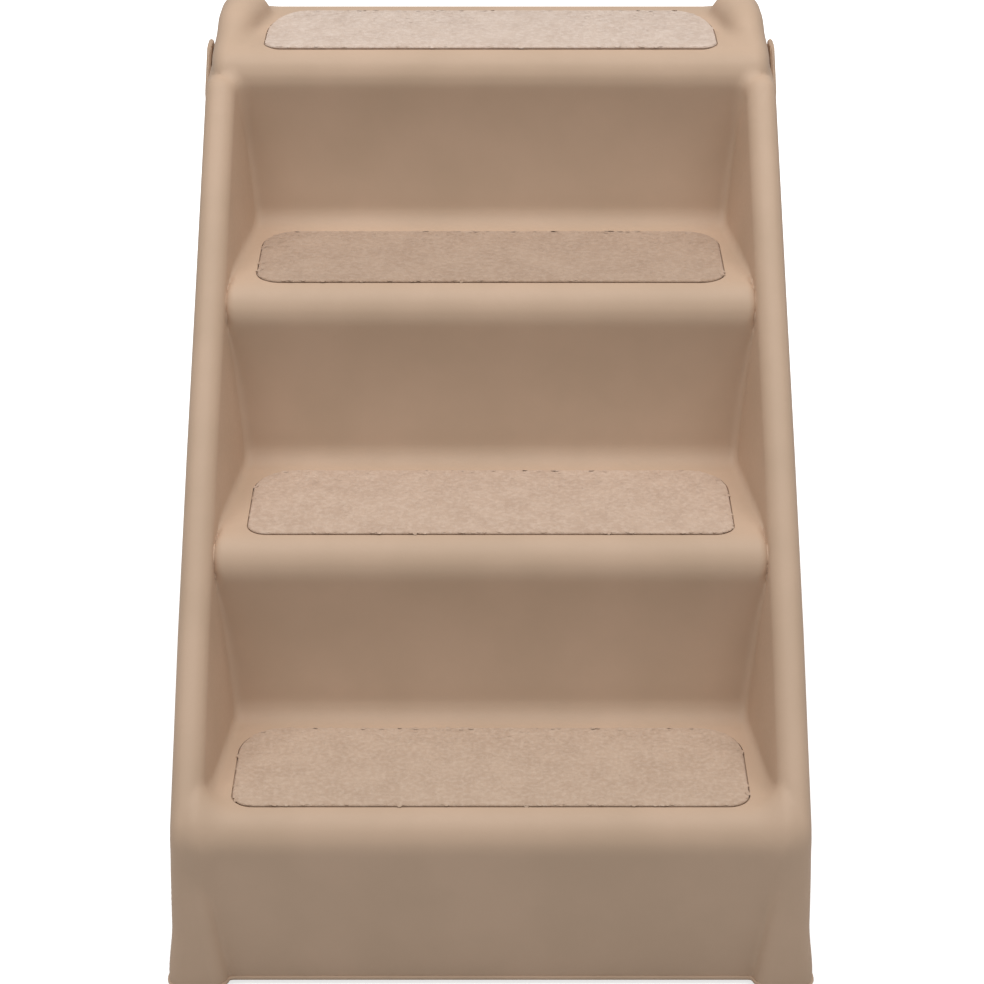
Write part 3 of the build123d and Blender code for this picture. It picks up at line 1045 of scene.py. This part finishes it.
    def build(self) -> bpy.types.Object:
        """Wraps the skin, presses the carpet seats into it and adds lands and hinge lugs.

        Returns:
            The moulding, riding on the stairs and standing for its CAD solid.
        """
        self.outline_profiles()
        side_margin, under_margin = self.skin_margins
        places = (0.0, self.rail_from, *self.valley_span, self.band_half + side_margin)
        pitches = (self.mid_pitch, self.rail_pitch, self.valley_pitch, self.rail_pitch)
        spans = zip(places, places[1:], pitches)
        one_side = np.concatenate([np.arange(*span) for span in spans])
        across = np.append(-one_side[:0:-1], one_side)
        along = np.arange(*self.along_span, self.pitch)
        depth = np.arange(self.depth_from, self.flight.under_depth + under_margin, self.pitch)
        vertices, quads = skin_of(self.distance, [along, across, depth], self.stride)
        LOG.info("stair body skin: %d quads", len(quads))
        body = mesh_object("stair_body_moulding", self.flight.world(*vertices.T), quads)
        for step in range(self.flight.steps):
            cutter = self.seat.cutter(self.flight, step)
            cut = body.modifiers.new("seat", "BOOLEAN")
            cut.operation = "DIFFERENCE"
            cut.solver = "EXACT"
            cut.object = cutter
            baked(body)
            bpy.data.objects.remove(cutter)
        sharpen(body, SMOOTH_DEG)
        rim = BottomRim(self.plastic)
        pillar_bead = rim.bead(body, rim.pillar_level, 0.0)
        apron_bead = rim.bead(body, rim.apron_level, rim.apron_half)
        extras = [pillar_bead, apron_bead] + Hinges(self.flight).lugs_and_lands()
        body = joined([body] + extras, "stair_body_moulding")
        dress(body, self.plastic)
        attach(body, Body.STAIRS.value)
        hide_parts("stair_body")
        return body


@dataclass
class BottomRim:
    """The rolled bead where the moulding is trimmed, along the foot of pillars and apron."""

    plastic: bpy.types.Material
    radius: float = 1.4
    pillar_level: float = 4.6
    apron_level: float = 4.2
    apron_half: float = 168.0
    apron_reach: float = 14.0
    spacing: float = 3.0
    sides: int = 10

    def tree(self) -> bpy.types.NodeTree:
        """Builds the node tree that rolls a bead along a path."""
        inputs = {"Path": "Geometry", "Radius": "Float", "Spacing": "Float", "Plastic": "Material"}
        tree, given = started_nodes("rolled_bead", inputs)
        line = add_node(tree, "GeometryNodeMeshToCurve", {"Mesh": given["Path"]}).outputs["Curve"]
        values = {"Curve": line, "Length": given["Spacing"]}
        even = add_node(tree, "GeometryNodeResampleCurve", values, mode="LENGTH").outputs["Curve"]
        values = {"Resolution": self.sides, "Radius": given["Radius"]}
        ring = add_node(tree, "GeometryNodeCurvePrimitiveCircle", values).outputs["Curve"]
        values = {"Curve": even, "Profile Curve": ring, "Fill Caps": True}
        bead = add_node(tree, "GeometryNodeCurveToMesh", values).outputs["Mesh"]
        soft = add_node(tree, "GeometryNodeSetShadeSmooth", {"Geometry": bead}).outputs[0]
        finished_nodes(tree, soft, given["Plastic"])
        return tree

    def path(self, body: bpy.types.Object, level: float, half: float) -> bpy.types.Object:
        """The line on which the moulding's surface crosses a level.

        Args:
            body: The moulding.
            level: Height above the floor, in millimetres.
            half: Keeps only the front line this near the middle, or everything when 0.

        Returns:
            An object of edges alone.
        """
        bm = bmesh.new()
        bm.from_mesh(body.data)
        parts = bm.verts[:] + bm.edges[:] + bm.faces[:]
        cut = bmesh.ops.bisect_plane(
            bm, geom=parts, plane_co=(0, 0, level * MM), plane_no=(0, 0, 1)
        )["geom_cut"]
        lines = [
            [vertex.co.copy() for vertex in edge.verts]
            for edge in cut
            if isinstance(edge, bmesh.types.BMEdge)
        ]
        bm.free()
        front = min(place.y for line in lines for place in line)
        number: dict[tuple, int] = {}
        edges = []
        for line in lines:
            near = all(
                abs(place.x) < half * MM and place.y < front + self.apron_reach * MM
                for place in line
            )
            if half == 0 or near:
                keys = [tuple(round(part, 7) for part in place) for place in line]
                ends = [number.setdefault(key, len(number)) for key in keys]
                if ends[0] != ends[1]:
                    edges.append(ends)
        mesh = bpy.data.meshes.new("rim_path")
        mesh.from_pydata(list(number), edges, [])
        thing = bpy.data.objects.new("rim_path", mesh)
        bpy.context.scene.collection.objects.link(thing)
        return thing

    def bead(self, body: bpy.types.Object, level: float, half: float) -> bpy.types.Object:
        """Rolls one bead along a level of the moulding."""
        values = {"Radius": self.radius * MM, "Spacing": self.spacing * MM, "Plastic": self.plastic}
        return grown(self.path(body, level, half), self.tree(), values)


@dataclass(frozen=True)
class CarpetSeat:
    """The shallow rounded seat of one carpet, and the carpet's outline in it, in millimetres."""

    width: float = 320.0
    first_gain: float = 7.4
    lengths: tuple[float, ...] = (94.5, 94.5, 94.5, 89.0)
    corners: tuple[tuple[float, float], ...] = (
        (14.0, 28.0),
        (13.0, 27.0),
        (17.0, 24.0),
        (12.0, 27.0),
    )
    rear_stretch: tuple[float, ...] = (1.1, 1.1, 1.1, 2.0)
    thickness: float = 3.0
    recess: float = 1.4
    clearance: float = 0.4
    setbacks: tuple[float, ...] = (23.0, 23.0, 23.0, 19.5)
    overcut: float = 3.0

    def middle(self, flight: FlightFrame, step: int) -> tuple[float, float]:
        """Middle of the carpet in the row's Y, and the height of the tread."""
        back = step * flight.run + self.setbacks[step] + self.lengths[step] / 2
        return back - flight.centre_y, flight.tread(step)

    def outline(self, step: int, grow: float, arc: int = 12) -> np.ndarray:
        """Points round the carpet, grown by a clearance.

        Args:
            step: Which step, from 0.
            grow: How far outside the carpet's own edge.
            arc: Stages in each corner.

        Returns:
            Points about the carpet's middle, counter-clockwise.
        """
        half_x, half_y = self.width / 2 + grow, self.lengths[step] / 2 + grow
        if step == 0:
            half_x += self.first_gain / 2
        front, rear = self.corners[step]
        points = []
        for number, (sx, sy) in enumerate(((1, 1), (-1, 1), (-1, -1), (1, -1))):
            corner = (rear if sy > 0 else front) + grow
            deep = (rear * self.rear_stretch[step] if sy > 0 else front) + grow
            for stage in range(arc + 1):
                turn = math.pi / 2 * (number + stage / arc)
                x = sx * (half_x - corner) + corner * math.cos(turn)
                points.append((x, sy * (half_y - deep) + deep * math.sin(turn)))
        return np.array(points)

    def cutter(self, flight: FlightFrame, step: int) -> bpy.types.Object:
        """The closed block that presses one seat into the moulding."""
        middle, tread = self.middle(flight, step)
        ring = self.outline(step, self.clearance)
        low = np.column_stack(
            [ring[:, 0], ring[:, 1] + middle, np.full(len(ring), tread - self.recess)]
        )
        high = low + np.array([0, 0, self.recess + self.overcut])
        faces = block_faces(len(ring))
        return mesh_object(f"seat_cutter_{step}", np.vstack([low, high]) * MM, faces, smooth=False)


def prism(name: str, ring: np.ndarray, shift: np.ndarray) -> bpy.types.Object:
    """A closed block from a ring of points pushed along a vector, with its edges softened.

    Args:
        name: Name of the object.
        ring: Points in millimetres in the row's frame.
        shift: The push in millimetres.

    Returns:
        The block.
    """
    block = mesh_object(name, np.vstack([ring, ring + shift]) * MM, block_faces(len(ring)))
    bm = bmesh.new()
    bm.from_mesh(block.data)
    bmesh.ops.recalc_face_normals(bm, faces=bm.faces)
    least = math.radians(BEVEL_FROM_DEG)
    edges = [edge for edge in bm.edges if edge.calc_face_angle(0.0) > least]
    bmesh.ops.bevel(bm, geom=edges, offset=EDGE_BEVEL * MM, segments=2, profile=0.5, affect="EDGES")
    bm.to_mesh(block.data)
    bm.free()
    sharpen(block, SMOOTH_DEG)
    return block


@dataclass
class Hinges:
    """Lugs under the moulding that carry the pins, and the thin land above each panel."""

    flight: FlightFrame
    lateral: float = 196.6
    knuckle_radius: float = 6.5
    lug_length: float = 14.0
    knuckle_length: float = 26.0
    side_gap: float = 0.4
    first: float = 100.0
    pitch: float = 215.0
    count: int = 3
    drops: tuple[float, float] = (7.0, 25.0)
    land_half: float = 204.3
    land_thickness: float = 4.0
    land_height: float = 10.0
    land_front: float = 34.0
    land_top: float = 457.0
    lug_root: float = 4.0

    def drop(self, side: Side) -> float:
        """How deep below the underside one side's axis lies."""
        return self.drops[0] if side is Side.LEFT else self.drops[1]

    def knuckle_starts(self) -> list[float]:
        """Where each knuckle starts along the slope."""
        middles = [self.first + number * self.pitch for number in range(self.count)]
        return [middle - self.knuckle_length / 2 for middle in middles]

    def section(self, side: Side, root: float) -> Points:
        """Section of a lug or knuckle: half a circle round the pin, and straight to its root.

        Args:
            side: Which side's axis it goes round.
            root: Depth of its straight end, above the axis for a lug and below it for a knuckle.

        Returns:
            Places across and depths.
        """
        axis = self.flight.under_depth + self.drop(side)
        across, radius = side.value * self.lateral, self.knuckle_radius
        start = 0.0 if root < axis else math.pi
        turns = np.linspace(start, start + math.pi, ARC_POINTS)
        ring = [(across + radius * math.cos(t), axis + radius * math.sin(t)) for t in turns]
        last = -radius if root < axis else radius
        return ring + [(across + last, root), (across - last, root)]

    def bar(self, name: str, ring: Points, along: float, length: float) -> bpy.types.Object:
        """A bar that runs up the slope.

        Args:
            name: Name of the object.
            ring: Its section, as places across and depths.
            along: Where it starts along the slope.
            length: Its length.

        Returns:
            The bar, with softened edges.
        """
        flat = np.array(ring)
        start, stop = [
            self.flight.world(np.full(len(flat), place), flat[:, 0], flat[:, 1]) / MM
            for place in (along, along + length)
        ]
        return prism(name, start, stop[0] - start[0])

    def land(self, side: Side) -> bpy.types.Object:
        """The thin land that stands out along the lower edge of the moulding's side."""
        flight = self.flight
        upper = flight.under_depth - self.land_height
        lower = flight.under_depth + self.drop(side) - self.drops[0]
        corners = [
            (flight.back_at(self.land_front, upper), self.land_front),
            (flight.back_at(self.land_front, lower), self.land_front),
            (flight.length, flight.height_at(flight.length, lower)),
            (flight.length, self.land_top),
            (flight.back_at(self.land_top, upper), self.land_top),
        ]
        inner = side.value * (self.land_half - self.land_thickness)
        ring = np.array([(inner, back - flight.centre_y, up) for back, up in corners])
        return prism(f"{side.word}_land", ring, np.array([side.value * self.land_thickness, 0, 0]))

    def lugs_and_lands(self) -> list[bpy.types.Object]:
        """All lugs and lands of both sides."""
        things = []
        for side in Side:
            things.append(self.land(side))
            name = f"{side.word}_lug"
            ring = self.section(side, self.flight.under_depth - self.lug_root)
            for knuckle in self.knuckle_starts():
                before = knuckle - self.side_gap - self.lug_length
                after = knuckle + self.knuckle_length + self.side_gap
                things += [self.bar(name, ring, at, self.lug_length) for at in (before, after)]
        return things


# The folding side panels


@dataclass
class SidePanel:
    """One blow-moulded side panel: two feet round an arch, a ribbed field, an ear and knuckles."""

    flight: FlightFrame
    hinges: Hinges
    plastic: bpy.types.Material
    side: Side
    inner: float = 190.5
    outer: float = 206.4
    lip_inner: float = 204.6
    lip_overlap: float = 8.0
    ear_swell: float = 1.6
    ear_length: float = 50.0
    ear_top: float = 462.5
    ear_overlap: float = 20.0
    leg_rake: float = 57.0
    rake_height: float = 467.0
    front_height: float = 32.0
    foot_height: float = 3.0
    edge_drop: float = 9.5
    feet: tuple[float, float] = (70.0, 130.0)
    arch: tuple[float, float] = (26.0, 14.0)
    margin: float = 22.0
    outer_recess: float = 3.0
    inner_recess: float = 8.0
    rib_width: float = 7.0
    rib_pitch: float = 70.0
    edge_round: float = 1.8
    pitch: float = 3.0
    thin_pitch: float = 0.9
    stride: float = 1.2
    web_reach: float = 4.0
    lip_inset: float = 8.0
    ear_climb: float = 8.0
    ear_tail: float = 20.0
    ear_round: float = 0.8
    swell_span: tuple[float, float] = (-12.0, 14.0)
    recess_rounds: tuple[float, float] = (2.5, 3.0)
    ear_fillet: float = 2.0
    along_span: tuple[float, float] = (-10.0, 700.0)
    depth_to: float = 520.0
    outline_rounds: tuple[float, ...] = (8.0, 8.0, 8.0, 14.0, 8.0, 12.0, 12.0, 8.0)
    field_rounds: tuple[float, ...] = (14.0, 14.0, 14.0)
    ear_rounds: tuple[float, ...] = (0, 6.0, 6.0, 8.0, 12.0, 9.0, 0)
    table_reach: tuple[float, float] = (900.0, 640.0)
    table_spacing: float = 2.0
    skin_margins: tuple[float, float, float] = (3.0, 2.0, 7.0)
    ear_start: float = 0.0
    profiles: dict[str, SideProfile] = field(default_factory=dict)

    @property
    def edge_depth(self) -> float:
        """Depth of the upper edge below the crest line."""
        return self.flight.under_depth + self.hinges.drop(self.side) + self.edge_drop

    def rake_back(self, height: float) -> float:
        """Distance back from the nosing of the leaning rear edge at a height."""
        return self.flight.length + self.leg_rake * (1 - height / self.rake_height)

    def rake_meets(self, depth: float) -> float:
        """Height where the line of that depth meets the leaning rear edge."""
        cos, sin = self.flight.slope
        start = self.flight.back_at(0, depth)
        reach = self.flight.length + self.leg_rake - start
        return reach / (cos / sin + self.leg_rake / self.rake_height)

    def outline_profiles(self) -> None:
        """Draws the panel's outline, its ear and its sunk field."""
        flight, low = self.flight, self.foot_height
        front = flight.back_at(self.front_height, self.edge_depth)
        top = self.rake_meets(self.edge_depth)
        rear = self.rake_back(low)
        front_foot, rear_foot = self.feet
        rise, splay = self.arch
        roof = low + rise
        points = [
            (front, low),
            (front, self.front_height),
            (self.rake_back(top), top),
            (rear, low),
            (rear - rear_foot, low),
            (rear - rear_foot - splay, roof),
            (front + front_foot + splay, roof),
            (front + front_foot, low),
        ]
        table = self.table_reach, self.table_spacing
        self.profiles["outline"] = SideProfile(flight, points, self.outline_rounds, *table)
        field_depth = self.edge_depth + self.margin
        field_low = roof + self.margin
        field_top = self.rake_meets(field_depth) - self.margin
        field_points = [
            (flight.back_at(field_low, field_depth), field_low),
            (flight.back_at(field_top, field_depth), field_top),
            (self.rake_back(field_low) - self.margin, field_low),
        ]
        self.profiles["field"] = SideProfile(flight, field_points, self.field_rounds, *table)
        land_low = flight.under_depth + self.hinges.drop(self.side) - self.hinges.drops[0]
        low_lip = land_low - self.lip_overlap
        shallow, deep = flight.under_depth - self.ear_overlap, self.edge_depth + self.web_reach
        ear_end = flight.to_slope(flight.back_at(self.ear_top, shallow), self.ear_top)[0]
        ear_start = ear_end - self.ear_length
        lip_start = flight.to_slope(front, self.front_height)[0] + self.lip_inset
        ear_points = [
            flight.from_slope(lip_start, deep),
            flight.from_slope(lip_start, low_lip),
            flight.from_slope(ear_start, low_lip),
            flight.from_slope(ear_start + self.ear_climb, shallow),
            (flight.back_at(self.ear_top, shallow), self.ear_top),
            (self.rake_back(self.ear_top), self.ear_top),
            (self.rake_back(top - self.ear_tail), top - self.ear_tail),
        ]
        self.ear_start = ear_start
        self.profiles["ear"] = SideProfile(flight, ear_points, self.ear_rounds, *table)

    def distance(self, along: np.ndarray, across: np.ndarray, depth: np.ndarray) -> np.ndarray:
        """Signed distance to the panel in the slope's coordinates, in millimetres."""
        off = across * self.side.value
        back = self.flight.from_slope(along, depth)[0]
        outline = self.profiles["outline"].distance(along, depth)
        body = round_cut([outline, self.inner - off, off - self.outer], self.edge_round)
        ear = self.profiles["ear"].distance(along, depth)
        start, stop = [self.ear_start + place for place in self.swell_span]
        swell = self.outer + self.ear_swell * smooth_step(along, start, stop)
        ear = round_cut([ear, self.lip_inner - off, off - swell], self.ear_round)
        sunk = self.profiles["field"].distance(along, depth)
        rear = self.rake_back(self.foot_height) - self.margin
        rib = np.abs((rear - back + self.rib_pitch / 2) % self.rib_pitch - self.rib_pitch / 2)
        outer_round, inner_round = self.recess_rounds
        floor = off - self.inner - self.inner_recess
        outside = round_cut([sunk, self.outer - self.outer_recess - off], outer_round)
        inside = round_cut([sunk, floor, self.rib_width / 2 - rib], inner_round)
        body = np.maximum(body, -np.minimum(outside, inside))
        return round_join(body, ear, self.ear_fillet)

    def knuckles(self) -> list[bpy.types.Object]:
        """The barrels round the pins, each with its web down to the panel."""
        hinges = self.hinges
        ring = hinges.section(self.side, self.edge_depth + self.web_reach)
        name = f"{self.side.word}_knuckle"
        starts = hinges.knuckle_starts()
        return [hinges.bar(name, ring, start, hinges.knuckle_length) for start in starts]

    def build(self) -> bpy.types.Object:
        """Wraps the skin and adds the knuckles.

        Returns:
            The panel, riding on its own body and standing for its CAD solid.
        """
        self.outline_profiles()
        inside, outside, above = self.skin_margins
        thickest = self.outer + self.ear_swell + outside
        thick = np.arange(self.inner - inside, thickest, self.thin_pitch)
        across = np.sort(thick * self.side.value)
        along = np.arange(*self.along_span, self.pitch)
        depth_from = self.flight.under_depth - self.ear_overlap - above
        depth = np.arange(depth_from, self.depth_to, self.pitch)
        vertices, quads = skin_of(self.distance, [along, across, depth], self.stride)
        name = f"{self.side.word}_side_panel"
        panel = mesh_object(f"{name}_moulding", self.flight.world(*vertices.T), quads)
        sharpen(panel, SMOOTH_DEG)
        panel = joined([panel] + self.knuckles(), f"{name}_moulding")
        dress(panel, self.plastic)
        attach(panel, PANEL_BODY[self.side].value)
        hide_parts(name)
        return panel


# Carpets


@dataclass(frozen=True)
class TuftField:
    """Geometry nodes that scatter low mounds of pile over a pad."""

    mound_mm: float = 2.3
    rise_mm: float = 0.3
    tilt: float = 0.05
    sizes: tuple[float, float] = (0.45, 1.3)
    flattest: float = 0.97
    sunk_share: float = 0.15
    sides: int = 8
    squash: float = 0.7

    def tree(self) -> bpy.types.NodeTree:
        """Builds the node tree.

        Returns:
            The tree, with inputs for the pad, the density, the seed and the pile's material.
        """
        inputs = {"Pad": "Geometry", "Density": "Float", "Seed": "Int", "Pile": "Material"}
        tree, given = started_nodes("scattered_pile", inputs)
        normal = add_node(tree, "GeometryNodeInputNormal").outputs[0]
        height = add_node(tree, "ShaderNodeSeparateXYZ", {0: normal}).outputs["Z"]
        values = {0: height, 1: self.flattest}
        upward = add_node(tree, "FunctionNodeCompare", values, operation="GREATER_THAN").outputs[0]
        density, seed = given["Density"], given["Seed"]
        values = {"Mesh": given["Pad"], "Selection": upward, "Density": density, "Seed": seed}
        points = add_node(tree, "GeometryNodeDistributePointsOnFaces", values).outputs
        radius, rise = self.mound_mm * MM, self.rise_mm * MM
        values = {"Vertices": self.sides, "Radius Top": 0.0, "Radius Bottom": radius, "Depth": rise}
        cone = add_node(tree, "GeometryNodeMeshCone", values).outputs["Mesh"]
        sunk = (0.0, 0.0, -self.sunk_share * self.rise_mm * MM)
        values = {"Geometry": cone, "Translation": sunk, "Scale": (1.0, self.squash, 1.0)}
        mound = add_node(tree, "GeometryNodeTransform", values).outputs[0]
        low, high = (-self.tilt, -self.tilt, 0.0), (self.tilt, self.tilt, math.tau)
        values = {0: low, 1: high, "Seed": seed}
        random = "FunctionNodeRandomValue"
        turn = add_node(tree, random, values, data_type="FLOAT_VECTOR").outputs[0]
        lean = add_node(tree, "FunctionNodeEulerToRotation", {0: turn}).outputs[0]
        values = {0: points["Rotation"], 1: lean}
        turned = "FunctionNodeRotateRotation"
        facing = add_node(tree, turned, values, rotation_space="LOCAL").outputs[0]
        least, most = self.sizes
        values = {2: least, 3: most, "Seed": seed}
        size = add_node(tree, random, values, data_type="FLOAT").outputs[1]
        values = {"Points": points["Points"], "Instance": mound, "Rotation": facing, "Scale": size}
        tufts = add_node(tree, "GeometryNodeInstanceOnPoints", values).outputs[0]
        soft = add_node(tree, "GeometryNodeSetShadeSmooth", {"Geometry": tufts}).outputs[0]
        both = add_node(tree, "GeometryNodeJoinGeometry")
        for geometry in (soft, given["Pad"]):
            tree.links.new(geometry, both.inputs[0])
        finished_nodes(tree, both.outputs[0], given["Pile"])
        return tree


@dataclass
class Carpet:
    """One carpet inlay: a felted pad with soft rounded edges and low mounds of short pile."""

    flight: FlightFrame
    seat: CarpetSeat
    pile: bpy.types.Material
    tufts: bpy.types.NodeTree
    step: int
    name: str
    undercut: float = 0.9
    rim_insets: tuple[float, ...] = (0.9, 0.1, 0.2, 0.65, 1.2, 2.0)
    rim_drops: tuple[float, ...] = (1.9, 1.2, 0.75, 0.3, 0.08, 0.0)
    tuft_rise: float = 0.25
    density: float = 95000.0
    first_seed: int = 11
    arc: int = 14
    smooth_deg: float = 50.0

    def pad(self) -> bpy.types.Object:
        """The closed pad under the tufts."""
        middle, tread = self.seat.middle(self.flight, self.step)
        bottom = tread - self.seat.recess
        top = bottom + self.seat.thickness - self.tuft_rise
        levels = [(self.undercut, bottom)]
        levels += [(inset, top - drop) for inset, drop in zip(self.rim_insets, self.rim_drops)]
        rows = []
        for inset, height in levels:
            ring = self.seat.outline(self.step, -inset - self.tuft_rise, self.arc)
            rows.append(
                np.column_stack([ring[:, 0], ring[:, 1] + middle, np.full(len(ring), height)])
            )
        count = len(rows[0])
        faces = [tuple(range(count))[::-1]]
        for base in range(0, count * (len(levels) - 1), count):
            for i in range(count):
                j = (i + 1) % count
                faces.append((base + i, base + j, base + count + j, base + count + i))
        last = (len(levels) - 1) * count
        faces.append(tuple(range(last, last + count)))
        return mesh_object(f"{self.name}_pile", np.vstack(rows) * MM, faces)

    def build(self) -> bpy.types.Object:
        """Makes the pad, grows its pile and has it stand for its CAD solid.

        Returns:
            The carpet as one mesh.
        """
        seed = self.first_seed + self.step
        values = {"Density": self.density, "Seed": seed, "Pile": self.pile}
        carpet = grown(self.pad(), self.tufts, values)
        sharpen(carpet, self.smooth_deg)
        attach(carpet, Body.STAIRS.value)
        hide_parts(self.name)
        return carpet


# Carried-over CAD pieces


@dataclass
class CarriedNodes:
    """CAD nodes whose shape is right, which only take a finish."""

    finishes: dict[str, bpy.types.Material]

    def dress(self) -> None:
        """Gives every node that ends in one of the words its finish."""
        for name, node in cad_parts.items():
            for word, material in self.finishes.items():
                if name.endswith(word):
                    dress(node, material)
                    LOG.info("dressed %s in %s", name, material.name)


# Studio


@dataclass
class Studio:
    """White floor, one wide soft lamp and the camera, in metres and watts."""

    camera_y: float = -1.77435
    camera_z: float = 1.0861
    pitch_deg: float = 63.65
    lens: float = 103.09
    shift_x: float = 0.00122
    sensor_mm: float = 36.0
    lamp_place: tuple[float, float, float] = (0.0, -0.3, 3.1)
    lamp_target: tuple[float, float, float] = (0.0, 0.0, 0.25)
    lamp_size: tuple[float, float] = (4.4, 2.2)
    lamp_power: float = 84.0
    floor_half: float = 6.0
    ambient: float = 0.36
    floor_tone: float = 0.66
    floor_roughness: float = 0.9
    fade_span: tuple[float, float] = (0.5, 1.5)
    fade_glow: tuple[float, float] = (0.72, 1.0)

    def build(self) -> None:
        """Sets up camera, lamp, floor and world."""
        scene = bpy.context.scene
        scene.view_settings.view_transform = "Standard"
        camera_data = bpy.data.cameras.new("camera")
        camera_data.lens = self.lens
        camera_data.sensor_width = self.sensor_mm
        camera_data.shift_x = self.shift_x
        camera = bpy.data.objects.new("camera", camera_data)
        camera.location = (0.0, self.camera_y, self.camera_z)
        camera.rotation_euler = (math.radians(self.pitch_deg), 0.0, 0.0)
        scene.collection.objects.link(camera)
        scene.camera = camera
        self.lamp()
        self.floor()
        self.world()

    def lamp(self) -> None:
        """Hangs the rectangular soft lamp over the stairs."""
        data = bpy.data.lights.new("overhead_softbox", "AREA")
        data.shape = "RECTANGLE"
        data.size, data.size_y = self.lamp_size
        data.energy = self.lamp_power
        lamp = bpy.data.objects.new("overhead_softbox", data)
        lamp.location = self.lamp_place
        aim = Vector(self.lamp_target) - Vector(self.lamp_place)
        lamp.rotation_euler = aim.to_track_quat("-Z", "Y").to_euler()
        bpy.context.scene.collection.objects.link(lamp)

    def white_for_sight(self, tree: bpy.types.NodeTree) -> bpy.types.NodeSocket:
        """1 for rays that see the background, and 0 for those that light the object."""
        return add_node(tree, "ShaderNodeLightPath").outputs["Is Camera Ray"]

    def floor(self) -> None:
        """Lays a plain white floor that keeps the object's shadow."""
        half = self.floor_half
        ring = [(-half, -half, 0), (half, -half, 0), (half, half, 0), (-half, half, 0)]
        floor = mesh_object("floor", np.array(ring), [(0, 1, 2, 3)], smooth=False)
        material = bpy.data.materials.new("painted_floor")
        material.use_nodes = True
        tree = material.node_tree
        place = add_node(tree, "ShaderNodeTexCoord").outputs["Object"]
        far = add_node(tree, "ShaderNodeVectorMath", {0: place}, operation="LENGTH").outputs[1]
        share = ranged(tree, far, self.fade_span, self.fade_glow)
        values = {0: self.white_for_sight(tree), 1: share}
        glow = add_node(tree, "ShaderNodeMath", values, operation="MULTIPLY").outputs[0]
        values = {
            "Base Color": (*[self.floor_tone] * 3, 1),
            "Roughness": self.floor_roughness,
            "Emission Color": WHITE,
            "Emission Strength": glow,
        }
        feed(tree, tree.nodes["Principled BSDF"], values)
        floor.data.materials.append(material)

    def world(self) -> None:
        """Lights from all round at a low level and shows as plain white."""
        world = bpy.data.worlds.new("white_studio")
        bpy.context.scene.world = world
        world.use_nodes = True
        tree = world.node_tree
        strength = ranged(tree, self.white_for_sight(tree), UNIT, (self.ambient, 1.0))
        feed(tree, tree.nodes["Background"], {"Color": WHITE, "Strength": strength})


def main() -> None:
    """Builds every piece in order and reports it."""
    logging.basicConfig(level=logging.INFO, format="%(name)s: %(message)s")
    flight = FlightFrame()
    plastic = MouldedPlastic().material()
    steel = ZincSteel().material()
    rubber = MouldedRubber().material()
    Studio().build()
    pieces = [StairBody(flight, plastic).build()]
    pieces += [SidePanel(flight, Hinges(flight), plastic, side).build() for side in Side]
    seat = CarpetSeat()
    tufts = TuftField().tree()
    # Each carpet gets its own copy of the pile, with its own painted light or shade
    for step, (name, shade) in enumerate(PAINTED_LIGHT_SHADES.items()):
        pile = CarpetPile(f"needle_punched_pile_of_{name}", painted_light_shade=shade).material()
        pieces.append(Carpet(flight, seat, pile, tufts, step, name).build())
    for piece in pieces:
        LOG.info("built %s with %d faces", piece.name, len(piece.data.polygons))
    finishes = {"hinge_pins": steel, "pin_retainers": steel, "rubber_foot": rubber}
    CarriedNodes(finishes).dress()


if __name__ == "__main__":
    main()
